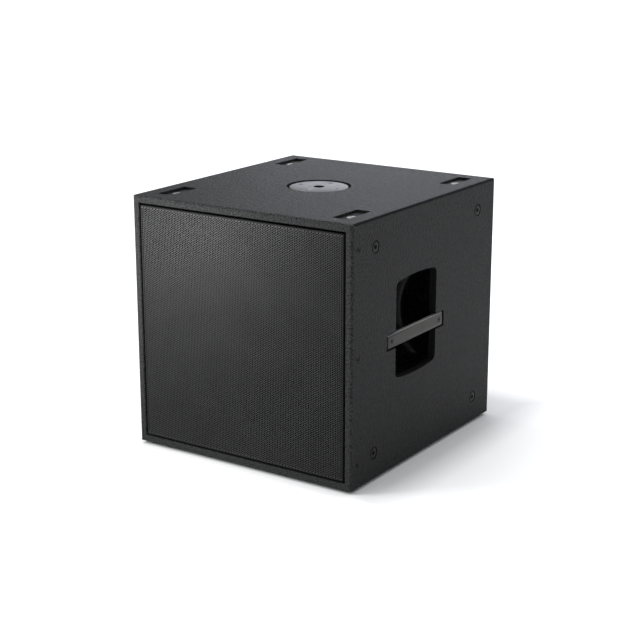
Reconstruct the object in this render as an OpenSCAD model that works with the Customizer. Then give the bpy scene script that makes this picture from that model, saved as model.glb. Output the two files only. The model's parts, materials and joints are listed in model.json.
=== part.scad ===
// Compact 15-inch subwoofer cabinet.
// Origin: on the floor under the middle of the cabinet. Front is -Y, right is +X, up is +Z.

/* [Cabinet] */
// Width of the cabinet
cab_w = 500; // [480:5:560]
// Depth of the cabinet
cab_d = 540; // [520:5:620]
// Height of the cabinet without its feet
cab_h = 502; // [490:2:560]
// Thickness of the plywood panels
panel_t = 15; // [15:1:18]
// Radius of the rounded outer edges
edge_r = 6; // [3:1:8]
// Radius of the rounded inner edge around the grille
lip_r = 3; // [1:1:4]

/* [Stacking] */
// Width of a stacking pocket, across the cabinet
pocket_w = 31; // [26:1:36]
// Length of a stacking pocket, along the depth
pocket_l = 83; // [60:1:100]
// Depth of a stacking pocket
pocket_depth = 5; // [5:0.5:6]
// Distance of the pockets from the middle, across the cabinet
pocket_x = 200; // [180:1:205]
// Distance of the pockets from the middle, along the depth
pocket_y = 194; // [170:1:200]
// Height of the skid feet
foot_h = 4.5; // [4:0.5:5]
// Gap between a foot and the pocket it drops into
foot_gap = 1; // [0.5:0.5:2]

/* [Grille] */
// Gap between the grille and the cabinet
grille_gap = 3.5; // [2:0.5:5]
// Distance of the grille behind the cabinet's front
grille_recess = 0.5; // [0.5:0.5:4]
// Thickness of the grille's steel sheet
sheet_t = 1.5; // [1:0.5:2]
// Depth of the folded edge of the grille
fold_d = 30; // [28:1:34]
// Thickness of the foam behind the grille
foam_t = 10; // [6:1:14]
// Distance of the grille screws behind the front
grille_screw_y = 20; // [18:1:22]
// Height of the outer grille screws above and below the middle
grille_screw_z = 203; // [180:1:210]

/* [Handles] */
// Width of the hand opening, along the depth
hand_w = 151; // [120:1:160]
// Height of the hand opening at its middle
hand_h = 196; // [160:1:200]
// Rise of the curved top and bottom of the hand opening
hand_rise = 6; // [3:1:10]
// Corner radius of the hand opening
hand_r = 12; // [8:1:18]
// Middle of the hand opening along the depth
hand_y = -41.5; // [-60:0.5:-20]
// Height of the hand opening's middle above the cabinet's middle
hand_z = 21.5; // [0:0.5:24]
// Length of the handle bar
bar_l = 205; // [190:1:220]
// Height of the handle bar
bar_h = 27; // [22:1:32]
// Thickness of the handle bar
bar_t = 8.5; // [7:0.5:10]
// Height of the handle bar above the cabinet's middle
bar_z = 4.7; // [0:0.1:10]
// Gap around the handle bar in its pocket
bar_gap = 2.4; // [1:0.1:4]
// Depth of the hand cup behind the panel
cup_depth = 75; // [60:1:80]

/* [Rigging] */
// Distance of the side rigging points above and below the middle
rig_z = 197; // [180:1:205]
// Distance of the front rigging points ahead of the middle
rig_front = 192; // [180:1:200]
// Distance of the rear rigging points behind the middle
rig_rear = 197; // [180:1:205]
// Diameter of the flange of a rigging insert
insert_flange_d = 20.4; // [18:0.2:22]
// Tapping diameter of the M8 thread in an insert
insert_bore_d = 6.8; // [6.8:0.1:8.5]

/* [Pole mount] */
// Diameter of the recess around the pole plate
recess_d = 128; // [120:1:136]
// Diameter of the pole plate
plate_d = 121; // [110:1:126]
// Tapping diameter of the M20 thread
pole_bore_d = 17.5; // [17:0.1:18]
// Length of the threaded boss under the plate
boss_l = 36; // [25:1:45]
// Diameter of the circle through the plate's screws
plate_pcd = 86; // [80:1:96]

/* [Driver] */
// Distance of the baffle behind the cabinet's front
baffle_recess = 55; // [50:1:65]
// Thickness of the baffle
baffle_t = 18; // [15:1:21]
// Outer diameter of the driver
driver_d = 388; // [380:1:392]
// Diameter of the driver's hole in the baffle
driver_hole_d = 356; // [352:1:360]
// Diameter of the circle through the driver's bolts
driver_pcd = 372; // [370:1:374]
// Number of driver bolts
driver_bolt_n = 8; // [4:4:8]
// Leg of the triangular port in each corner
port_leg = 82; // [60:1:82]
// Length of the port boards
port_l = 227; // [150:1:240]
// Thickness of the port and brace boards
board_t = 12; // [9:1:15]

/* [Connectors] */
// Width of the connector dish's cavity
dish_w = 130; // [110:1:150]
// Height of the connector dish's cavity
dish_h = 90; // [70:1:100]
// Depth of the connector dish's cavity
dish_d = 30; // [24:1:36]
// Height of the dish's middle above the floor
dish_z = 150; // [130:1:200]
// Distance between the two connectors
connector_pitch = 56; // [40:1:64]

/* [Hidden] */
$fn = 64;
eps = 1;
edge_steps = 8;
half_w = cab_w / 2;
half_d = cab_d / 2;
base_z = foot_h;
top_z = base_z + cab_h;
mid_z = base_z + cab_h / 2;
in_x = half_w - panel_t;
in_z = cab_h / 2 - panel_t;

// Handles
hand_mid = [hand_y, mid_z + hand_z];
bar_mid_z = mid_z + bar_z;
bar_inner_x = half_w - bar_t - 0.5;
bar_screw_y = 89;
cup_wall = 3;
cup_curve_r = 130;
cup_flange = 12;
cup_screw_out = 7.8;
cup_screw_r = 2;
cup_screw_at = [for (s = [-1, 1]) each [[0, s * (hand_h / 2 + cup_screw_out)],
    [s * (hand_w / 2 + cup_screw_out), 50], [s * (hand_w / 2 + cup_screw_out), -50]]];

// Rigging inserts
insert_barrel_r = 6.8;
insert_hole_r = 7;
insert_flange_t = 2.5;
counterbore_r = 12.4;
counterbore_depth = 3;
rig_at = [[-rig_front, rig_z], [-rig_front, -rig_z], [rig_rear, rig_z], [rig_rear, -rig_z]];
corner_at = [[1, 1], [1, -1], [-1, 1], [-1, -1]];

// Grille
grille_x = in_x - grille_gap;
grille_z = in_z - grille_gap;
grille_y = -half_d + grille_recess;
screw_rows = [grille_screw_z, 0, -grille_screw_z];
grille_screw_head_r = 6.3;
grille_screw_r = 3;

// Pole mount
recess_depth = 8;
plate_t = 7;
boss_r = 19;
plate_screw_r = 3;

// Driver: local z runs forward from the baffle's front face
baffle_y = -half_d + baffle_recess;
flange_z = [1.5, 8];
driver_bolt_r = 3;
cone_front = [150, 13.7];
cone_neck = [38.1, -60];
cone_t = 1.4;
former_r = [37.5, 38.1];
coil_r = 39.6;
coil_z = [-116, -92];
top_plate_z = [-109, -99];
magnet_z = [-133, -109];
back_plate_z = [-145, -133];
spider_z = -72;
port_end_y = baffle_y + baffle_t + port_l;
brace_y = port_end_y + 27;

// Connectors
dish_wall = 2.5;
dish_flange = 14;
dish_floor_y = half_d - dish_d;
connector_r = 12;

// Acoustic lining
lining_t = 25;
lining_x = in_x - 10;

// Signal cable inside the cabinet, from the connectors to the driver
cable_r = 3;
cable_sides = 8;
cable_route = [[28, 203, 150], [28, 192, 150], [20, 176, 156], [-5, 156, 172], [-35, 133, 190],
    [-58, 105, 200], [-70, 66, 205], [-84, 30, 208], [-98, 0, 212], [-108, -40, 220],
    [-118, -80, 234], [-130, -110, 246], [-138, -130, 252], [-144, -148, 255]];

// ---- Shared shapes ----

// Outline of a rectangle with rounded corners, centred on the origin.
function round_rect(w, h, r, n = edge_steps) = [
    for (c = [0:3])
        for (i = [0:n])
            let (a = 90 * (c + i / n), s = [[1, 1], [-1, 1], [-1, -1], [1, -1]][c])
                [s[0] * (w / 2 - r) + r * cos(a), s[1] * (h / 2 - r) + r * sin(a)]
];

// Extrusions whose profile lies across one axis, centred on that axis.
module along_x(l) {
    rotate([90, 0, 90])
        linear_extrude(l, center = true)
            children();
}

module along_y(l) {
    rotate([90, 0, 0])
        linear_extrude(l, center = true)
            children();
}

// Places children on a side wall: local x runs along the depth, y is up and z points outwards.
module on_side(side) {
    mirror([side < 0 ? 1 : 0, 0, 0])
        rotate([90, 0, 90])
            children();
}

// Places children on the driver's axis: local z runs forward from the baffle's front face.
module on_driver_axis() {
    translate([0, baffle_y, mid_z])
        rotate([90, 0, 0])
            children();
}

// A ring of rectangular section about z.
module ring(r_in, r_out, z0, z1) {
    translate([0, 0, z0])
        difference() {
            cylinder(r = r_out, h = z1 - z0);
            translate([0, 0, -eps])
                cylinder(r = r_in, h = z1 - z0 + 2 * eps);
        }
}

// A countersunk screw about z with its flat head at z = 0, pointing down.
module countersunk_screw(r, head_r, l, socket_r) {
    difference() {
        union() {
            translate([0, 0, -l])
                cylinder(r = r, h = l - head_r + r + 0.2);
            translate([0, 0, -(head_r - r)])
                cylinder(r1 = r, r2 = head_r, h = head_r - r);
        }
        translate([0, 0, -r])
            cylinder(r = socket_r, h = r + eps, $fn = 6);
    }
}

// The hole for a countersunk screw of the same size, with clearance around it.
module countersunk_hole(r, head_r, l, sink = 0.4) {
    clearance = 0.2;
    translate([0, 0, -l])
        cylinder(r = r + clearance, h = l + eps);
    translate([0, 0, -(head_r - r) - sink])
        cylinder(r1 = r + clearance, r2 = head_r + clearance, h = head_r - r);
    translate([0, 0, -sink])
        cylinder(r = head_r + clearance, h = sink + eps);
}

// A cap or pan head screw about z whose head stands on z = 0.
module head_screw(r, head_r, head_h, l, socket_r) {
    difference() {
        union() {
            cylinder(r = head_r, h = head_h);
            translate([0, 0, -l])
                cylinder(r = r, h = l + head_h / 2);
        }
        translate([0, 0, head_h / 2])
            cylinder(r = socket_r, h = head_h, $fn = 6);
    }
}

// ---- Cabinet panels ----

// The solid block of the whole cabinet with rounded edges.
module cabinet_block() {
    translate([0, 0, mid_z])
        intersection() {
            linear_extrude(cab_h, center = true)
                polygon(round_rect(cab_w, cab_d, edge_r));
            along_y(cab_d)
                polygon(round_rect(cab_w, cab_h, edge_r));
            along_x(cab_w)
                polygon(round_rect(cab_d, cab_h, edge_r));
        }
}

// Half the outline of the front opening: its width grows towards the front with a rounded lip.
function lip_outline(half, depth) = concat(
    [[-half, depth]],
    [for (i = [0:edge_steps]) let (a = 90 * i / edge_steps)
        [-half - lip_r * (1 - cos(a)), lip_r * (1 - sin(a))]],
    [[-half - lip_r, -eps], [half + lip_r, -eps]],
    [for (i = [edge_steps:-1:0]) let (a = 90 * i / edge_steps)
        [half + lip_r * (1 - cos(a)), lip_r * (1 - sin(a))]],
    [[half, depth]]
);

// The space in front of the baffle, with a rounded lip at the front.
module front_opening() {
    depth = baffle_recess;
    intersection() {
        translate([0, -half_d, mid_z])
            linear_extrude(2 * in_z + 4 * lip_r, center = true)
                polygon(lip_outline(in_x, depth));
        translate([0, -half_d, mid_z])
            rotate([0, 90, 0])
                linear_extrude(2 * in_x + 4 * lip_r, center = true)
                    polygon(lip_outline(in_z, depth));
    }
}

// A block that holds one panel's share of the cabinet: level is 1 for the top and -1 for the floor.
module level_slab(level) {
    translate([-in_x, -half_d - eps, level > 0 ? top_z - panel_t : base_z - eps])
        cube([2 * in_x, cab_d + 2 * eps, panel_t + eps]);
}

module pocket_places() {
    for (c = corner_at)
        translate([c[0] * pocket_x, c[1] * pocket_y, 0])
            children();
}

module insert_hole() {
    translate([0, 0, -panel_t - eps])
        cylinder(r = insert_hole_r, h = panel_t + 2 * eps);
    translate([0, 0, -counterbore_depth])
        cylinder(r = counterbore_r, h = counterbore_depth + eps);
}

module top_panel() {
    color([0.15, 0.15, 0.16])
        difference() {
            intersection() {
                cabinet_block();
                level_slab(1);
            }
            front_opening();
            pocket_places()
                translate([0, 0, top_z - pocket_depth])
                    linear_extrude(pocket_depth + eps)
                        polygon(round_rect(pocket_w, pocket_l, 3));
            pocket_places()
                translate([0, 0, top_z - pocket_depth])
                    pocket_insert_hole();
            translate([0, 0, top_z - recess_depth])
                cylinder(d = recess_d, h = recess_depth + eps);
            translate([0, 0, top_z - panel_t - eps])
                cylinder(r = boss_r + 1, h = panel_t);
            plate_screw_places()
                translate([0, 0, top_z - panel_t - eps])
                    cylinder(r = plate_screw_r + 0.2, h = panel_t);
        }
}

module pocket_insert_hole() {
    translate([0, 0, -panel_t])
        cylinder(r = insert_hole_r, h = panel_t + eps);
    translate([0, 0, -insert_flange_t])
        cylinder(d = insert_flange_d + 0.6, h = insert_flange_t + eps);
}

module bottom_panel() {
    color([0.13, 0.13, 0.14])
        difference() {
            intersection() {
                cabinet_block();
                level_slab(-1);
            }
            front_opening();
            foot_screw_places()
                cylinder(r = 1.8, h = base_z + 10);
        }
}

// The hand opening: straight upright sides, and a top and bottom that rise to the middle.
function hand_outline(grow, n = 6) =
    let (w = hand_w / 2 + grow, h = hand_h / 2 + grow, r = hand_r + grow,
        big_r = (w * w + hand_rise * hand_rise) / (2 * hand_rise),
        cx = w - r, drop = big_r - h,
        cy = sqrt((big_r - r) * (big_r - r) - cx * cx) - drop,
        turn = atan2(cy + drop, cx))
    [for (q = [0:3])
        let (sx = [1, -1, -1, 1][q], sy = [1, 1, -1, -1][q], back = q % 2 == 1)
            for (i = [0:2 * n])
                let (k = back ? 2 * n - i : i,
                    corner = k <= n,
                    a = corner ? turn * k / n : turn + (90 - turn) * (k - n) / n)
                    if (!(k == 2 * n && back))
                        corner ? [sx * (cx + r * cos(a)), sy * (cy + r * sin(a))]
                            : [sx * big_r * cos(a), sy * (big_r * sin(a) - drop)]];

module hand_shape(grow) {
    translate(hand_mid)
        polygon(hand_outline(grow));
}

module rig_places() {
    for (p = rig_at)
        translate([p[0], mid_z + p[1], half_w])
            children();
}

module grille_screw_places() {
    for (z = screw_rows)
        translate([-half_d + grille_screw_y, mid_z + z, half_w])
            children();
}

module bar_screw_places() {
    for (end = [-1, 1])
        translate([hand_y + end * bar_screw_y, bar_mid_z, bar_inner_x + bar_t])
            children();
}

module side_panel(side) {
    color([0.13, 0.13, 0.14])
        difference() {
            intersection() {
                cabinet_block();
                on_side(side)
                    translate([-half_d - eps, base_z - eps, in_x])
                        cube([cab_d + 2 * eps, cab_h + 2 * eps, panel_t + eps]);
            }
            front_opening();
            on_side(side) {
                translate([0, 0, in_x - eps])
                    linear_extrude(panel_t + 2 * eps)
                        hand_shape(0);
                translate([hand_y, bar_mid_z, bar_inner_x])
                    linear_extrude(bar_t + 2 * eps)
                        polygon(round_rect(bar_l + 4 * bar_gap, bar_h + 2 * bar_gap, 3));
                bar_screw_places()
                    translate([0, 0, -panel_t - bar_t])
                        cylinder(r = 4.3, h = panel_t + bar_t);
                cup_screw_places()
                    translate([0, 0, -eps])
                        cylinder(r = cup_screw_r + 0.1, h = panel_t - 4);
                rig_places()
                    insert_hole();
                grille_screw_places()
                    countersunk_hole(grille_screw_r, grille_screw_head_r, panel_t + eps);
            }
        }
}

module rear_panel() {
    color([0.13, 0.13, 0.14])
        difference() {
            translate([-in_x, half_d - panel_t, mid_z - in_z])
                cube([2 * in_x, panel_t, 2 * in_z]);
            translate([0, half_d - panel_t / 2, dish_z])
                along_y(panel_t + 2 * eps)
                    polygon(round_rect(dish_w + 2 * dish_wall + 1, dish_h + 2 * dish_wall + 1, 9));
            translate([0, half_d, dish_z])
                along_y(2 * dish_wall)
                    polygon(round_rect(dish_w + 2 * dish_flange + 1, dish_h + 2 * dish_flange + 1, 10));
            dish_screw_places()
                translate([0, 0, -panel_t + 2])
                    cylinder(r = 1.8, h = panel_t);
        }
}

// An octagon that fills the cabinet apart from a triangle in each corner.
module corner_cut_board(leg) {
    polygon([for (c = [[1, 1, 0], [1, 1, 1], [-1, 1, 1], [-1, 1, 0], [-1, -1, 0], [-1, -1, 1],
            [1, -1, 1], [1, -1, 0]])
        [c[0] * (in_x - leg * c[2]), c[1] * (in_z - leg * (1 - c[2]))]]);
}

module front_baffle() {
    color([0.16, 0.16, 0.17])
        difference() {
            on_driver_axis()
                translate([0, 0, -baffle_t])
                    linear_extrude(baffle_t)
                        corner_cut_board(port_leg);
            on_driver_axis() {
                translate([0, 0, -baffle_t - eps])
                    cylinder(d = driver_hole_d, h = baffle_t + 2 * eps);
                driver_bolt_places()
                    translate([0, 0, -baffle_t - eps])
                        cylinder(r = 4.7, h = baffle_t + 2 * eps);
            }
        }
}

module window_brace() {
    window = 150;
    offset_x = 110;
    color([0.72, 0.58, 0.4])
        translate([0, brace_y, mid_z])
            rotate([90, 0, 0])
                translate([0, 0, -board_t])
                    linear_extrude(board_t)
                        difference() {
                            corner_cut_board(port_leg + board_t * sqrt(2));
                            for (c = corner_at)
                                translate([c[0] * offset_x, c[1] * offset_x])
                                    polygon(round_rect(window, window, 25));
                        }
}

// A board across one corner behind the baffle, which closes a triangular port.
module port_board(side, level) {
    foot = port_leg + board_t * sqrt(2);
    color([0.7, 0.56, 0.38])
        translate([0, baffle_y + baffle_t, mid_z])
            rotate([90, 0, 0])
                translate([0, 0, -port_l])
                    linear_extrude(port_l)
                        polygon([[side * in_x, level * (in_z - port_leg)],
                            [side * (in_x - port_leg), level * in_z],
                            [side * (in_x - foot), level * in_z],
                            [side * in_x, level * (in_z - foot)]]);
}

// ---- Grille ----

module grille() {
    color([0.2, 0.2, 0.2])
        difference() {
            translate([0, grille_y + fold_d / 2, mid_z])
                along_y(fold_d)
                    polygon(round_rect(2 * grille_x, 2 * grille_z, 2, 3));
            translate([0, grille_y + sheet_t + fold_d / 2, mid_z])
                along_y(fold_d)
                    polygon(round_rect(2 * (grille_x - sheet_t), 2 * (grille_z - sheet_t), 0.5, 2));
            for (side = [-1, 1])
                on_side(side)
                    grille_screw_places()
                        translate([0, 0, -panel_t - 4 * grille_gap])
                            cylinder(r = grille_screw_r + 0.2, h = 4 * grille_gap);
        }
}

module grille_foam() {
    margin = 0.5;
    color([0.05, 0.05, 0.05])
        translate([0, grille_y + sheet_t + margin + foam_t / 2, mid_z])
            along_y(foam_t)
                polygon(round_rect(2 * (grille_x - sheet_t - margin),
                    2 * (grille_z - sheet_t - margin), 2, 3));
}

module both_sides() {
    for (side = [-1, 1])
        on_side(side)
            children();
}

module grille_screws() {
    color([0.1, 0.1, 0.1])
        both_sides()
            grille_screw_places()
                translate([0, 0, -0.4])
                    countersunk_screw(grille_screw_r, grille_screw_head_r, 29, 2.3);
}

module grille_spacers() {
    color([0.08, 0.08, 0.08])
        both_sides()
            grille_screw_places()
                ring(grille_screw_r + 0.3, 7, -panel_t - grille_gap, -panel_t);
}

module grille_nuts() {
    nut_t = 8;
    color([0.75, 0.75, 0.72])
        both_sides()
            grille_screw_places()
                translate([0, 0, -panel_t - grille_gap - sheet_t - nut_t])
                    difference() {
                        cylinder(r = 5.8, h = nut_t, $fn = 6);
                        translate([0, 0, -eps])
                            cylinder(r = grille_screw_r + 0.05, h = nut_t + 2 * eps);
                    }
}

// ---- Handles ----

// The curved back of the hand cup is a cylinder that lies along the depth.
module cup_back(r) {
    centre_z = in_x - cup_depth + cup_curve_r;
    translate([hand_mid[0], hand_mid[1], centre_z])
        rotate([0, 90, 0])
            cylinder(r = r, h = 2 * hand_w, center = true, $fn = 128);
}

module handle_cup(side) {
    color([0.04, 0.04, 0.04])
        on_side(side)
            difference() {
                union() {
                    intersection() {
                        translate([0, 0, in_x - cup_depth - cup_wall])
                            linear_extrude(cup_depth + cup_wall)
                                hand_shape(cup_wall);
                        cup_back(cup_curve_r + cup_wall);
                    }
                    translate([0, 0, in_x - cup_wall])
                        linear_extrude(cup_wall)
                            hand_shape(cup_flange);
                }
                intersection() {
                    translate([0, 0, in_x - cup_depth - eps])
                        linear_extrude(cup_depth + 2 * eps)
                            hand_shape(0);
                    cup_back(cup_curve_r);
                }
                cup_screw_places()
                    translate([0, 0, -cup_wall - eps])
                        cylinder(r = cup_screw_r + 0.2, h = cup_wall + 2 * eps);
                bar_screw_places()
                    translate([0, 0, -2 * panel_t])
                        cylinder(r = 8, h = 2 * panel_t);
            }
}

module cup_screw_places() {
    for (p = cup_screw_at)
        translate([hand_mid[0] + p[0], hand_mid[1] + p[1], in_x])
            children();
}

module handle_bar(side) {
    color([0.33, 0.31, 0.3])
        on_side(side)
            difference() {
                translate([hand_y, bar_mid_z, bar_inner_x + bar_t / 2])
                    rotate([0, 90, 0])
                        linear_extrude(bar_l, center = true)
                            polygon(round_rect(bar_t, bar_h, 2.5, 5));
                bar_screw_places()
                    countersunk_hole(driver_bolt_r, 5.6, bar_t + eps, 0.3);
            }
}

module handle_bar_screws() {
    color([0.12, 0.12, 0.12])
        both_sides()
            bar_screw_places()
                translate([0, 0, -0.3])
                    countersunk_screw(driver_bolt_r, 5.6, 20, 2);
}

module handle_bar_nuts() {
    barrel_l = 5.5;
    color([0.7, 0.7, 0.68])
        both_sides()
            bar_screw_places()
                translate([0, 0, -(half_w - 0.5 - in_x)])
                    difference() {
                        union() {
                            cylinder(r = 4, h = barrel_l);
                            translate([0, 0, -1.5])
                                cylinder(r = 7.5, h = 1.5);
                        }
                        translate([0, 0, -1.5 - eps])
                            cylinder(r = driver_bolt_r + 0.05, h = barrel_l + 2 * eps + 1.5);
                    }
}

module handle_cup_screws() {
    color([0.12, 0.12, 0.12])
        both_sides()
            cup_screw_places()
                translate([0, 0, -cup_wall])
                    mirror([0, 0, 1])
                        head_screw(cup_screw_r, 4, 2.4, 12, 1.3);
}

// ---- Pole mount ----

module plate_screw_places() {
    for (a = [0:90:270])
        rotate(a)
            translate([plate_pcd / 2, 0, 0])
                children();
}

module pole_plate() {
    plate_z = top_z - recess_depth;
    color([0.5, 0.51, 0.52])
        difference() {
            union() {
                translate([0, 0, plate_z])
                    cylinder(d = plate_d, h = plate_t - 1);
                translate([0, 0, plate_z + plate_t - 1])
                    cylinder(d1 = plate_d, d2 = plate_d - 2, h = 1);
                translate([0, 0, plate_z - boss_l])
                    cylinder(r = boss_r, h = boss_l + 1);
            }
            translate([0, 0, plate_z - boss_l - eps])
                cylinder(d = pole_bore_d, h = boss_l + plate_t + 2 * eps);
            translate([0, 0, plate_z + plate_t - 2.25])
                cylinder(d1 = pole_bore_d, d2 = pole_bore_d + 4.5 + 2 * eps, h = 2.25 + eps);
            translate([0, 0, plate_z + plate_t])
                plate_screw_places()
                    countersunk_hole(plate_screw_r, 5.8, plate_t + eps, 0.3);
        }
}

module pole_plate_screws() {
    color([0.2, 0.2, 0.2])
        plate_screw_places()
            translate([0, 0, top_z - recess_depth + plate_t - 0.3])
                countersunk_screw(plate_screw_r, 5.8, 22, 2);
}

module pole_plate_nuts() {
    nut_t = 5;
    color([0.7, 0.7, 0.68])
        plate_screw_places()
            translate([0, 0, top_z - panel_t - nut_t])
                difference() {
                    cylinder(r = 5.8, h = nut_t, $fn = 6);
                    translate([0, 0, -eps])
                        cylinder(r = plate_screw_r + 0.05, h = nut_t + 2 * eps);
                }
}

// ---- Rigging inserts ----

// A flanged threaded insert about z, with its flange's face at z = 0.
module threaded_insert(l) {
    difference() {
        union() {
            translate([0, 0, -insert_flange_t])
                cylinder(d = insert_flange_d, h = insert_flange_t);
            translate([0, 0, -l])
                cylinder(r = insert_barrel_r, h = l - insert_flange_t / 2);
        }
        translate([0, 0, -l - eps])
            cylinder(d = insert_bore_d, h = l + 2 * eps);
    }
}

module rigging_inserts(side) {
    color([0.25, 0.25, 0.25])
        on_side(side)
            rig_places()
                translate([0, 0, insert_flange_t - counterbore_depth])
                    threaded_insert(18);
}

module top_pocket_inserts() {
    color([0.6, 0.6, 0.6])
        pocket_places()
            translate([0, 0, top_z - pocket_depth])
                threaded_insert(panel_t - pocket_depth);
}

// ---- Feet ----

module foot_screw_places() {
    for (c = corner_at)
        for (end = [-1, 1])
            translate([c[0] * pocket_x, c[1] * pocket_y + end * 25, 0])
                children();
}

module foot(side, end) {
    foot_w = pocket_w - 2 * foot_gap;
    foot_l = pocket_l - 2 * foot_gap;
    color([0.06, 0.06, 0.06])
        difference() {
            translate([side * pocket_x, end * pocket_y, 0])
                linear_extrude(foot_h)
                    polygon(round_rect(foot_w, foot_l, 3, 4));
            foot_screw_places() {
                translate([0, 0, -eps])
                    cylinder(r = 4.3, h = eps + 2.6);
                cylinder(r = 2.2, h = foot_h + eps);
            }
        }
}

module foot_screws() {
    color([0.3, 0.3, 0.3])
        foot_screw_places()
            translate([0, 0, 2.6])
                mirror([0, 0, 1])
                    head_screw(1.75, 3.8, 2, 11, 1.2);
}

// ---- Connectors ----

module connector_places() {
    for (side = [-1, 1])
        translate([side * connector_pitch / 2, dish_floor_y, dish_z])
            rotate([-90, 0, 0])
                children();
}

module connector_screw_places() {
    for (end = [-1, 1])
        translate([end * 9.5, -end * 12, 0])
            children();
}

module connector_dish() {
    color([0.1, 0.1, 0.1])
        difference() {
            union() {
                translate([0, half_d - dish_wall / 2, dish_z])
                    along_y(dish_wall)
                        polygon(round_rect(dish_w + 2 * dish_flange, dish_h + 2 * dish_flange, 10));
                translate([0, half_d - (dish_d + dish_wall) / 2, dish_z])
                    along_y(dish_d + dish_wall)
                        polygon(round_rect(dish_w + 2 * dish_wall, dish_h + 2 * dish_wall, 8));
            }
            translate([0, half_d - dish_d / 2 + eps / 2, dish_z])
                along_y(dish_d + eps)
                    polygon(round_rect(dish_w, dish_h, 6));
            connector_places() {
                translate([0, 0, -dish_wall - eps])
                    cylinder(r = connector_r + 0.2, h = dish_wall + 2 * eps);
                connector_screw_places()
                    translate([0, 0, -dish_wall - eps])
                        cylinder(r = 1.6, h = dish_wall + 2 * eps);
            }
            dish_screw_places()
                translate([0, 0, -dish_wall - eps])
                    countersunk_hole(2, 3.9, dish_wall, 0);
            dish_screw_places()
                countersunk_hole(2, 3.9, dish_wall + eps, 0.2);
        }
}

// A four-pole twist-lock speaker socket: local z points out of the cabinet.
module speaker_socket() {
    flange_t = 3;
    mouth_r = 10.5;
    core_r = 4.8;
    body_l = 28;
    color([0.09, 0.09, 0.1])
        difference() {
            union() {
                linear_extrude(flange_t)
                    polygon(round_rect(26, 31, 3, 4));
                cylinder(r = connector_r, h = flange_t + 2);
                translate([0, 0, -body_l])
                    cylinder(r = connector_r, h = body_l + 1);
                for (a = [45:90:315])
                    rotate(a)
                        translate([6.5, -2.4, -body_l - 8])
                            cube([0.8, 4.8, 9]);
            }
            difference() {
                translate([0, 0, -body_l + 8])
                    cylinder(r = mouth_r, h = body_l + flange_t);
                translate([0, 0, -body_l])
                    cylinder(r = core_r, h = body_l + flange_t - 1);
            }
            connector_screw_places()
                translate([0, 0, -eps])
                    cylinder(r = 1.6, h = flange_t + 2 * eps);
        }
}

module speaker_connector(side) {
    translate([side * connector_pitch / 2, dish_floor_y, dish_z])
        rotate([-90, 0, 0])
            speaker_socket();
}

module connector_screws() {
    color([0.15, 0.15, 0.15])
        connector_places()
            connector_screw_places()
                translate([0, 0, 3])
                    head_screw(1.5, 2.4, 1.6, 10, 0.9);
}

module dish_screw_places() {
    for (x = [-1, 0, 1])
        for (z = [-1, 1])
            translate([x * (dish_w / 2 + 7), half_d, dish_z + z * (dish_h / 2 + 7)])
                rotate([-90, 0, 0])
                    children();
}

module dish_screws() {
    color([0.15, 0.15, 0.15])
        dish_screw_places()
            translate([0, 0, -0.2])
                countersunk_screw(1.7, 3.6, 11.5, 1.1);
}

// ---- Driver ----

module driver_bolt_places() {
    for (i = [0:driver_bolt_n - 1])
        rotate((i + 0.5) * 360 / driver_bolt_n)
            translate([driver_pcd / 2, 0, 0])
                children();
}

module driver_basket() {
    spokes = 8;
    window_deg = 29;
    rim_r = 171;
    seat_r = 102;
    magnet_r = 92;
    color([0.1, 0.1, 0.11])
        on_driver_axis()
            difference() {
                rotate_extrude()
                    polygon([[rim_r, flange_z[1]], [driver_d / 2, flange_z[1]],
                        [driver_d / 2, flange_z[0]], [rim_r + 5, flange_z[0]],
                        [rim_r + 5, -12], [seat_r + 8, spider_z - 6], [seat_r + 8, top_plate_z[1] + 2],
                        [magnet_r, top_plate_z[1]], [50, top_plate_z[1]],
                        [50, top_plate_z[1] + 5], [seat_r - 6, top_plate_z[1] + 5],
                        [seat_r - 6, spider_z - 5], [seat_r - 11, spider_z - 5],
                        [seat_r - 11, spider_z], [seat_r + 2, spider_z],
                        [rim_r, -10]]);
                driver_bolt_places()
                    cylinder(r = driver_bolt_r + 0.3, h = flange_z[1] + eps);
                for (i = [0:spokes - 1])
                    rotate(i * 360 / spokes) {
                        basket_window(window_deg, 86, 198, -62, -16);
                        basket_window(window_deg, seat_r - 30, seat_r + 30,
                            top_plate_z[1] + 9, spider_z - 9);
                    }
            }
}

// A wedge between two radii and two heights, which opens a window between two spokes.
module basket_window(deg, r_in, r_out, z0, z1) {
    rotate(-deg / 2)
        rotate_extrude(angle = deg)
            polygon([[r_in, z0], [r_out, z0], [r_out, z1], [r_in, z1]]);
}

module driver_seal() {
    color([0.08, 0.08, 0.08])
        on_driver_axis()
            difference() {
                ring(driver_hole_d / 2 + 1, driver_d / 2, 0, flange_z[0]);
                driver_bolt_places()
                    translate([0, 0, -eps])
                        cylinder(r = driver_bolt_r + 0.5, h = flange_z[0] + 2 * eps);
            }
}

module driver_front_ring() {
    color([0.09, 0.09, 0.09])
        on_driver_axis()
            ring(171, 180, flange_z[1] + 1, flange_z[1] + 5);
}

module driver_bolts() {
    color([0.15, 0.15, 0.15])
        on_driver_axis()
            driver_bolt_places()
                translate([0, 0, flange_z[1]])
                    head_screw(driver_bolt_r, 5, 6, 32, 2.5);
}

module driver_nuts() {
    color([0.7, 0.7, 0.68])
        on_driver_axis()
            driver_bolt_places()
                union() {
                    ring(driver_bolt_r + 0.05, 4.5, -baffle_t - 1, -baffle_t + 11);
                    ring(driver_bolt_r + 0.05, 9, -baffle_t - 1.6, -baffle_t);
                }
}

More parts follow.
